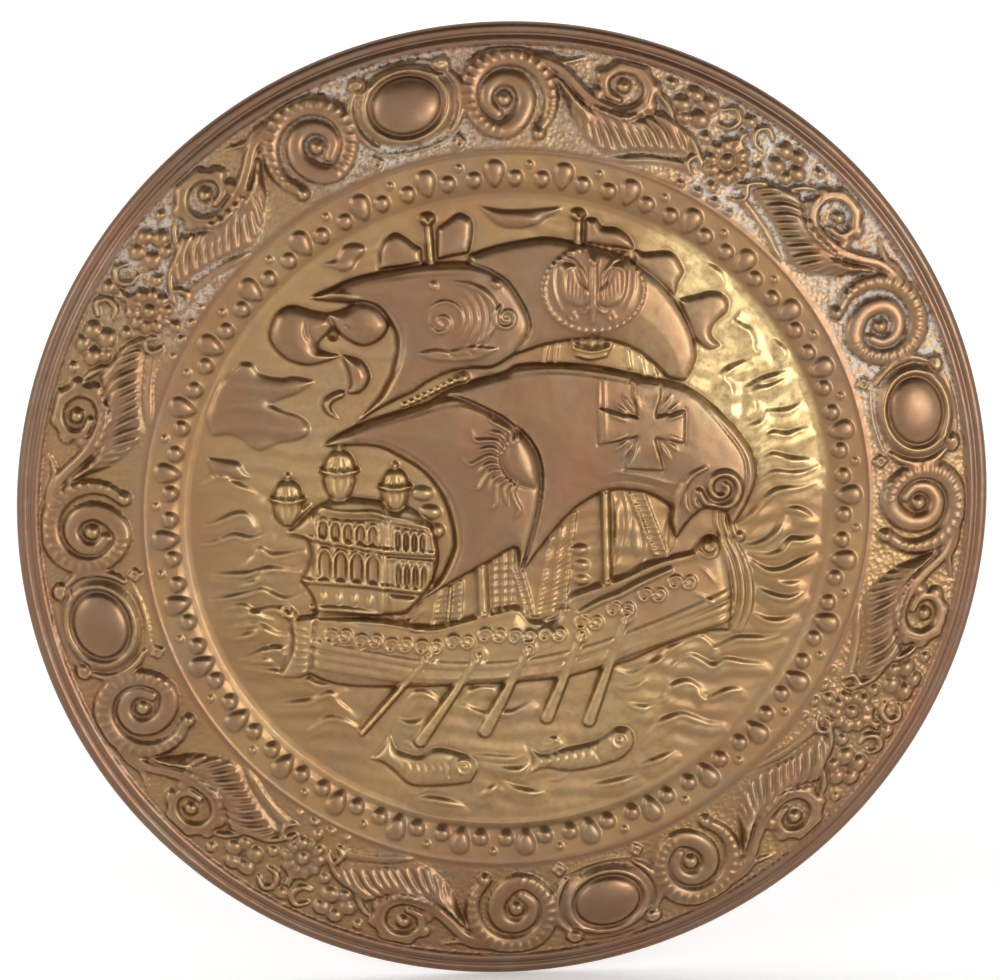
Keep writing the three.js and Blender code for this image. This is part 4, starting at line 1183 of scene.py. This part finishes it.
def make_faces(rows, starts):
    """Triangles between neighbouring rings. Rings of equal count are joined by squares cut in two.
    Where the counts differ, each step of the coarser ring takes one triangle, and so does each fine
    step beside it."""
    triangles = []
    for k in range(len(rows) - 1):
        (_, n, _), (_, m, _) = rows[k], rows[k + 1]
        a, b = starts[k], starts[k + 1]
        i = np.arange(min(n, m))
        if n == m:
            j = (i + 1) % n
            triangles += [np.stack([a + i, a + j, b + i], 1), np.stack([a + j, b + j, b + i], 1)]
        elif n > m:
            step = n // m
            for s in range(step):
                start, end = a + step * i + s, a + (step * i + s + 1) % n
                apex = b + (i if s < step / 2 else (i + 1) % m)
                triangles.append(np.stack([start, end, apex], 1))
            triangles.append(np.stack([a + step * i + math.ceil(step / 2), b + (i + 1) % m, b + i], 1))
        else:
            step = m // n
            for s in range(step):
                start, end = b + step * i + s, b + (step * i + s + 1) % m
                apex = a + (i if s < step / 2 else (i + 1) % n)
                triangles.append(np.stack([end, start, apex], 1))
            triangles.append(np.stack([b + step * i + math.ceil(step / 2), a + i, a + (i + 1) % n], 1))
    return np.vstack(triangles)


def fine_count(ring_radius):
    """Vertices in a front ring: halved each time the radius halves, and at least 8."""
    return max(8, FINE >> max(0, math.floor(math.log2(130 / max(ring_radius, 0.1))) + 1))


print("vertices in rings of 1, 20 and 150 mm:", [fine_count(r) for r in (1, 20, 150)])

# %% Rows of the two pieces
middle_rows = [(r, fine_count(r), relief) for r in np.arange(0.65, SEAM, RING_STEP)]
middle_rows += [(SEAM, FINE, relief)]
middle_rows += [(r, COARSE, behind) for r in [SEAM, *np.arange(SEAM - 4.4, 3, -4)]]

roll = [(ROLL_CENTRE + ROLL_RADIUS * math.cos(a), FINE, ROLL_HEIGHT + ROLL_RADIUS * math.sin(a))
        for a in np.radians(np.linspace(137, -90, 22))]
roll_back = [(ROLL_CENTRE + ROLL_RADIUS * math.cos(a), MIDDLING, ROLL_HEIGHT + ROLL_RADIUS * math.sin(a))
             for a in np.radians(np.linspace(-105, -170, 6))]
border_rows = [(r, FINE, relief) for r in np.arange(SEAM, ROLL_START, RING_STEP)]
border_rows += roll + roll_back
border_rows += [(295.5, MIDDLING, 5.0), (291, COARSE, 5.6)]
border_rows += [(r, COARSE, behind) for r in [*np.arange(287, SEAM + 1, -3.5), SEAM]]
print(len(middle_rows), "rings in the middle,", len(border_rows), "in the border")

# %% [markdown]
# ## Closed pieces
#
# The plaque is one sheet. It is made as two closed pieces that meet in the step round the panel,
# only because a mesh with all of its detail would be too heavy.
#
# Smooth metal needs few triangles and chased metal many. The Decimate modifier takes them where
# they aren't missed, which would be hard to plan by hand. It is applied here, so that later cells
# can read the vertices that are left.


# %% Two closed pieces
def build_piece(name, rows, capped, budget):
    """A closed mesh object from rings of vertices, thinned to the budget of triangles. A capped piece
    has a small lid in its first and last ring. Otherwise its last ring is joined to its first."""
    points, starts = make_rings(rows)
    faces = make_faces(rows, starts)
    if capped:
        first = np.arange(1, rows[0][1] - 1)
        last = np.arange(1, rows[-1][1] - 1) + starts[-1]
        front_lid = np.stack([np.zeros_like(first), first + 1, first], 1)
        back_lid = np.stack([np.full_like(last, starts[-1]), last, last + 1], 1)
        faces = np.vstack([faces, front_lid, back_lid])
    else:
        faces = np.vstack([faces, make_faces([rows[-1], rows[0]], [starts[-1], starts[0]])])
    row_frame = np.stack([points[:, 0], -points[:, 2], points[:, 1] + CENTRE_Z], axis=1) * MM
    mesh = bpy.data.meshes.new(name)
    mesh.from_pydata(row_frame.tolist(), [], faces.tolist())
    piece = bpy.data.objects.new(name, mesh)
    bpy.context.collection.objects.link(piece)
    thin = piece.modifiers.new("thin", "DECIMATE")
    thin.ratio = min(1, budget / len(faces))
    evaluated = piece.evaluated_get(bpy.context.evaluated_depsgraph_get())
    thinned = bpy.data.meshes.new_from_object(evaluated)
    piece.modifiers.clear()
    piece.data = thinned
    thinned.name = name
    print(name, len(faces), "triangles thinned to", len(thinned.polygons))
    return piece


def read_points(mesh):
    """The mesh's vertices in the drawn frame: x, y and height in millimetres."""
    flat = np.empty(3 * len(mesh.vertices))
    mesh.vertices.foreach_get("co", flat)
    co = flat.reshape(-1, 3) / MM
    return co[:, 0], co[:, 2] - CENTRE_Z, -co[:, 1]


TRIANGLE_BUDGET = 190000
middle = build_piece("plaque_middle", middle_rows, True, TRIANGLE_BUDGET)
border_piece = build_piece("plaque_border", border_rows, False, TRIANGLE_BUDGET)

# %% [markdown]
# ## Where the metal is worn, dirty or smooth, and the painted highlight
#
# Wear follows use. The sails and bosses are wiped and keep a smooth copper tone, and polish has
# dried in the border. The low ground of the panel carries a painted highlight: pale yellow brass in
# soft patches, strongest at the upper right, where the window's reflection falls.
#
# The masks could be painted by hand in Texture Paint. They are worked out in the same frame as the
# field instead, so they always fit the forms: `smooth` on the raised forms, `polish` in parts of
# the border, the painted highlight on the panel's ground, and `stipple` on the punched ground.


# %% Smooth and raised metal
def soft_disc(x0, y0, half_x, half_y):
    """1 in the middle of an oval, falling to 0 at its edge and beyond."""
    return np.clip(1 - ((grid_x - x0) / half_x) ** 2 - ((grid_y - y0) / half_y) ** 2, 0, 1)


smooth = Field((-FIELD_HALF, -FIELD_HALF), (FIELD_HALF, FIELD_HALF), CELL)
for runs in [MAIN_TOPSAIL, STERN_TOPSAIL, MAIN_SAIL, STERN_SAIL, *FLAGS, *STREAMER, *CLOUDS]:
    loop = closed(runs)
    place, x, y = smooth.near(loop, 1)
    smooth.z[place] = np.maximum(smooth.z[place], inside(loop, x, y))
# The plain ovals of the bosses, the plain edges of the border, and all its beads and carved forms.
boss = np.clip(1.2 - (arc / 21) ** 2 - ((radius - 263) / 17) ** 2, 0, 1) > 0.2
outer = (radius > 289) | ((radius > 226) & (radius < 230))
raised = np.clip(beads, 0, 1) + np.clip(carved - 0.6, 0, 1)
smooth_mask = blur(np.clip(smooth.z + boss + outer + raised, 0, 1), 1.0)
boss_mask = blur(boss * 0.35, 1.0)
print("smooth metal covers", round(float((smooth_mask > 0.5).sum()) * CELL**2 / 100), "square cm")

# %% Polish, painted highlight on the ground, and stipple
degrees = np.degrees(clockwise) % 360
in_ring = np.clip((radius - 229) / 4, 0, 1) * np.clip((293 - radius) / 4, 0, 1)


def around(angle, spread):
    """1 at an angle clockwise from the top, falling off as a bell with the given spread."""
    away = (degrees - angle + 180) % 360 - 180
    return np.exp(-((away / spread) ** 2))


low_ground = blur(np.clip(1 - carved / 1.2, 0, 1), 0.6)
polish_mask = in_ring * low_ground * np.clip(
    1.2 * around(40, 14) + 1.0 * around(66, 10) + 0.8 * around(343, 11) + 0.7 * around(308, 9)
    + 0.3 * around(8, 10), 0, 1)
# Painted highlight: pale patches on the panel's ground that stand for the window's reflection, strongest
# at the upper right.
highlight_patches = np.clip(
    1.7 * soft_disc(135, 118, 75, 95) + 0.7 * soft_disc(190, 60, 60, 60)
    + 0.15 * soft_disc(-110, 40, 90, 160) + 0.25 * soft_disc(20, -135, 160, 90), 0, 1)
highlight_sheen_mask = highlight_patches * np.clip((204 - radius) / 3, 0, 1) * (1 - 0.85 * smooth_mask)
stipple_mask = in_ring * low_ground
print("masks drawn")

# %% [markdown]
# ### Normals and attributes
#
# Decimate leaves flat facets of many sizes, and they would show in the gloss. So each vertex takes
# its normal from the slope of the field at full detail, and its masks as attributes that the brass
# reads.


# %% Normals and attributes
FRONT_TOLERANCE = 0.35  # a vertex this close to the field, in mm, is on the front
FRONT_RADIUS = 297


def finish_surface(piece):
    """Gives a piece its normals from the field's slopes and its masks as vertex attributes."""
    mesh = piece.data
    x, y, height = read_points(mesh)
    r = np.maximum(np.hypot(x, y), 0.01)
    off_field = np.abs(height - dish(r) - panel.sample(x, y, relief))
    on_front = (off_field < FRONT_TOLERANCE) & (r < FRONT_RADIUS)
    turned = np.interp(r, profile_r, profile_slope)
    uphill_x = turned * x / r + panel.sample(x, y, slope_x)
    uphill_y = turned * y / r + panel.sample(x, y, slope_y)
    normals = np.stack([-uphill_x, -np.ones_like(x), -uphill_y], 1)
    normals /= np.linalg.norm(normals, axis=1)[:, None]
    normals[~on_front] = 0
    mesh.polygons.foreach_set("use_smooth", np.ones(len(mesh.polygons), bool))
    mesh.normals_split_custom_set_from_vertices(normals.tolist())
    # One of these masks is the painted highlight of the panel's ground.
    fields = {"hollow": hollow, "crest": crest, "smooth": smooth_mask, "polish": polish_mask,
              "highlight_sheen": highlight_sheen_mask, "stipple": stipple_mask}
    for name, values in fields.items():
        attribute = mesh.attributes.new(name, "FLOAT", "POINT")
        attribute.data.foreach_set("value", (panel.sample(x, y, values) * on_front).astype(np.float32))
    edge = mesh.attributes.new("edge", "FLOAT", "POINT")
    copper = np.maximum(np.clip((r - 290) / 6, 0, 1), panel.sample(x, y, boss_mask) * on_front)
    edge.data.foreach_set("value", copper.astype(np.float32))
    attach(piece, "root")
    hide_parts("plaque")
    print(piece.name, "has", int(on_front.sum()), "of", len(x), "vertices on the front")


finish_surface(middle)
finish_surface(border_piece)

# %% [markdown]
# ## Aged brass
#
# The metal is brass sheet, pressed and chased. It is copper brown where its patina is whole, yellow
# where the crests are worn and where a highlight is painted on the panel's ground, nearly black in
# the hollows, and chalky where polish has dried.
#
# A picture of old brass could be wrapped round it, but would not know the forms. So the layers are
# mixed by the masks, and noise breaks up their edges. Noise sizes are in millimetres.


# %% Helpers for the material
def colour(code):
    """A linear colour from an sRGB hex code."""
    parts = [int(code[k:k + 2], 16) / 255 for k in (1, 3, 5)]
    linear = [c / 12.92 if c <= 0.04045 else ((c + 0.055) / 1.055) ** 2.4 for c in parts]
    return (*linear, 1)


brass = bpy.data.materials.new("aged brass")
brass.use_nodes = True
tree = brass.node_tree
tree.nodes.clear()


def node(kind, values=None, **settings):
    """Adds a node, sets its own settings, then its sockets: a value, or an output to link."""
    made = tree.nodes.new(kind)
    for key, value in settings.items():
        setattr(made, key, value)
    for key, value in (values or {}).items():
        if isinstance(value, bpy.types.NodeSocket):
            tree.links.new(value, made.inputs[key])
        else:
            made.inputs[key].default_value = value
    return made


def mix(share, low, high):
    """A blend of two colours."""
    made = node("ShaderNodeMix", {0: share, 6: low, 7: high}, data_type="RGBA")
    return made.outputs[2]


def math_node(operation, a, b):
    """A sum, product or other operation on two numbers, kept from 0 to 1."""
    return node("ShaderNodeMath", {0: a, 1: b}, operation=operation, use_clamp=True).outputs[0]


def mask(name):
    """A vertex attribute as a number."""
    return node("ShaderNodeAttribute", attribute_name=name).outputs["Fac"]


place = node("ShaderNodeTexCoord").outputs["Object"]


def noise(size_mm, detail=3.0, roughness=0.55):
    """Cloudy noise whose largest features are about the given size."""
    return node("ShaderNodeTexNoise", {"Vector": place, "Scale": 1000 / size_mm, "Detail": detail,
                                       "Roughness": roughness}).outputs["Fac"]


def ramp(value, low, high):
    """0 below low, 1 above high."""
    return node("ShaderNodeMapRange", {"Value": value, "From Min": low,
                                       "From Max": high}).outputs["Result"]


print("helpers made, object coordinates in", place.node.name)

# %% Layers of colour
COPPER_BROWN = colour("#84644b")
DARK_COPPER = colour("#765c4b")
RED_COPPER = colour("#885f49")
GREY_FILM = colour("#7d7566")
OLIVE_BRASS = colour("#9a7a53")
# Pale brass for the worn crests and for the painted highlight.
WORN_AND_HIGHLIT_BRASS = colour("#e4c88e")
TARNISH = colour("#2c2722")
DRIED_POLISH = colour("#d2d0c9")

cloud = ramp(noise(60, 1.0), 0.35, 0.65)
grain = noise(5, 3.0, 0.65)
metal = mix(math_node("MULTIPLY", mask("smooth"), 0.85), OLIVE_BRASS, COPPER_BROWN)
metal = mix(math_node("MULTIPLY", mask("edge"), 0.9), metal, DARK_COPPER)
metal = mix(math_node("MULTIPLY", cloud, 0.4), metal, RED_COPPER)
metal = mix(math_node("MULTIPLY", ramp(noise(24, 3.0, 0.65), 0.45, 0.7), 0.35), metal, GREY_FILM)
# Worn crests, plus the painted highlight where the window's reflection falls on the panel's ground, turn
# pale brass.
wear_and_highlight = math_node("ADD", math_node("MULTIPLY", mask("crest"), 0.4),
                   math_node("MULTIPLY", mask("highlight_sheen"), 0.78))
wear_and_highlight = math_node("MULTIPLY", wear_and_highlight, ramp(grain, 0.2, 0.6))
metal = mix(wear_and_highlight, metal, WORN_AND_HIGHLIT_BRASS)
dirt = math_node("MULTIPLY", mask("hollow"), ramp(grain, 0.15, 0.5))
metal = mix(math_node("MULTIPLY", dirt, 0.8), metal, TARNISH)
print("colour layers:", len(tree.nodes), "nodes")

# %% [markdown]
# ### Bump, gloss and dried polish
#
# The ground of the border was punched with a small round tool about 3.4 mm apart. So many marks
# would need millions of triangles, and they are too shallow to change the outline, so they are
# bump. Patina dulls brass, so its roughness goes from 0.25 to 0.46 with the grain, and dirt adds to
# it.

# %% Bump, gloss and dried polish
# Punched ground, slow waver and fine scuffs, in one height.
PUNCH_MM = 3.4
punched = node("ShaderNodeTexVoronoi", {"Vector": place, "Scale": 1000 / PUNCH_MM}).outputs["Distance"]
stipple_height = math_node("MULTIPLY", punched, math_node("MULTIPLY", mask("stipple"), 0.7))
waver = math_node("MULTIPLY", noise(14, 1.0), 0.5)
scuffs = math_node("MULTIPLY", noise(1.6, 2.0), 0.06)
height = node("ShaderNodeMath", {0: stipple_height, 1: waver}, operation="ADD").outputs[0]
height = node("ShaderNodeMath", {0: height, 1: scuffs}, operation="ADD").outputs[0]
bump = node("ShaderNodeBump", {"Height": height, "Strength": 0.8, "Distance": 0.0009}).outputs["Normal"]

gloss = node("ShaderNodeMapRange", {"Value": grain, "To Min": 0.25, "To Max": 0.46}).outputs["Result"]
gloss = math_node("ADD", gloss, math_node("MULTIPLY", mask("hollow"), 0.3))
shine = node("ShaderNodeBsdfPrincipled", {"Base Color": metal, "Metallic": 1.0, "Roughness": gloss,
                                          "Normal": bump})
chalk = node("ShaderNodeBsdfPrincipled", {"Base Color": DRIED_POLISH, "Metallic": 0.0, "Roughness": 0.9,
                                          "Normal": bump})
chalky = math_node("MULTIPLY", mask("polish"), ramp(noise(3.6, 3.0, 0.75), 0.42, 0.58))
both = node("ShaderNodeMixShader", {0: math_node("MULTIPLY", chalky, 0.85), 1: shine.outputs[0],
                                    2: chalk.outputs[0]})
node("ShaderNodeOutputMaterial", {"Surface": both.outputs[0]})
for piece in (middle, border_piece):
    piece.data.materials.clear()
    piece.data.materials.append(brass)
print("material", brass.name, len(tree.nodes), "nodes")

# %% [markdown]
# ## The picture
#
# The photograph has the plaque on white, leaning back a little, with a soft dark reflection on the
# slopes that face up.
#
# A plain white world would light it from everywhere and leave the relief flat. So a floor catches
# its shadow, and a dark card over the camera is what the upward slopes reflect. Both are for the
# picture only and aren't part of the object.

# %% Floor and card
centre = Vector((0, 0, CENTRE_Z * MM))
FLOOR_Z = -0.6066
FLOOR_REACH = 60.0
FLOOR_CORNERS = [(-FLOOR_REACH, -FLOOR_REACH, FLOOR_Z), (FLOOR_REACH, -FLOOR_REACH, FLOOR_Z),
                 (FLOOR_REACH, FLOOR_REACH, FLOOR_Z), (-FLOOR_REACH, FLOOR_REACH, FLOOR_Z)]
CARD_CORNERS = [(-2.2, -2.6, 1.25), (2.2, -2.6, 1.25), (2.2, -0.25, 1.6), (-2.2, -0.25, 1.6)]


def flat_sheet(name, corners, code, rough):
    """A plain four-cornered surface with a little light of its own."""
    mesh = bpy.data.meshes.new(name)
    mesh.from_pydata(corners, [], [(0, 1, 2, 3)])
    plain = bpy.data.materials.new(name + " paint")
    plain.use_nodes = True
    shader = plain.node_tree.nodes["Principled BSDF"]
    shader.inputs["Base Color"].default_value = colour(code)
    shader.inputs["Roughness"].default_value = rough
    shader.inputs["Emission Color"].default_value = colour(code)
    shader.inputs["Emission Strength"].default_value = 0.2
    mesh.materials.append(plain)
    made = bpy.data.objects.new(name, mesh)
    bpy.context.collection.objects.link(made)
    return made


floor = flat_sheet("floor", FLOOR_CORNERS, "#ffffff", 0.9)
card = flat_sheet("card", CARD_CORNERS, "#57504a", 1.0)
print("floor at", FLOOR_Z, "m")

# %% [markdown]
# ### Light
#
# A large soft window to the right models the relief, and a weak light from the left opens the
# shadows. A sun lamp would be simpler, but its hard shadows would hide the low forms.

# %% White room and lights
world = bpy.data.worlds.new("white room")
world.use_nodes = True
world.node_tree.nodes["Background"].inputs["Color"].default_value = colour("#ffffff")
world.node_tree.nodes["Background"].inputs["Strength"].default_value = 1.0
bpy.context.scene.world = world


def soft_light(name, place_at, target, size, watts):
    """A square area light that faces a point."""
    data = bpy.data.lights.new(name, "AREA")
    data.shape, data.size, data.energy = "SQUARE", size, watts
    light = bpy.data.objects.new(name, data)
    light.location = place_at
    light.rotation_mode = "QUATERNION"
    light.rotation_quaternion = (Vector(target) - Vector(place_at)).to_track_quat("-Z", "Y")
    bpy.context.collection.objects.link(light)
    return light


soft_light("window", (1.35, -2.2, -0.35), (0.1, 0, -0.25), 0.9, 21)
soft_light("fill", (-1.8, -1.6, 0.3), (0, 0, -0.3), 0.8, 8)

# %% [markdown]
# ### Camera
#
# The disc is seen slightly from one side, so its near edge is to the upper left. The camera could
# be turned by trial. It is placed by the disc's own axes instead: the direction in which the disc
# comes nearer, the tilt that makes its outline the oval of the photograph, and the size of that
# oval.

# %% Camera
DISTANCE, TILT, PIXELS_PER_M = 1.73106, math.radians(13.9), 1592.7
PICTURE_WIDTH = 1000
near_side = Vector((-0.394, 0, 0.919)).normalized()
facing = Vector((0, -1, 0))
across = Vector((-near_side.z, 0, near_side.x))
uphill = near_side * math.cos(TILT) - facing * math.sin(TILT)
towards = near_side * math.sin(TILT) + facing * math.cos(TILT)
right = near_side.x * uphill - near_side.z * across
up = towards.cross(right)
camera = bpy.data.objects.new("camera", bpy.data.cameras.new("camera"))
bpy.context.collection.objects.link(camera)
turn = Matrix((right, up, towards)).transposed().to_4x4()
camera.matrix_world = Matrix.Translation(centre + towards * DISTANCE) @ turn
camera.data.lens = PIXELS_PER_M * DISTANCE / PICTURE_WIDTH * camera.data.sensor_width
camera.data.shift_x, camera.data.shift_y = -0.0089, 0.0233
camera.data.clip_end = 200
bpy.context.scene.camera = camera
bpy.context.scene.view_settings.view_transform = "Standard"
print("camera at", [round(v, 3) for v in camera.matrix_world.translation], "m")
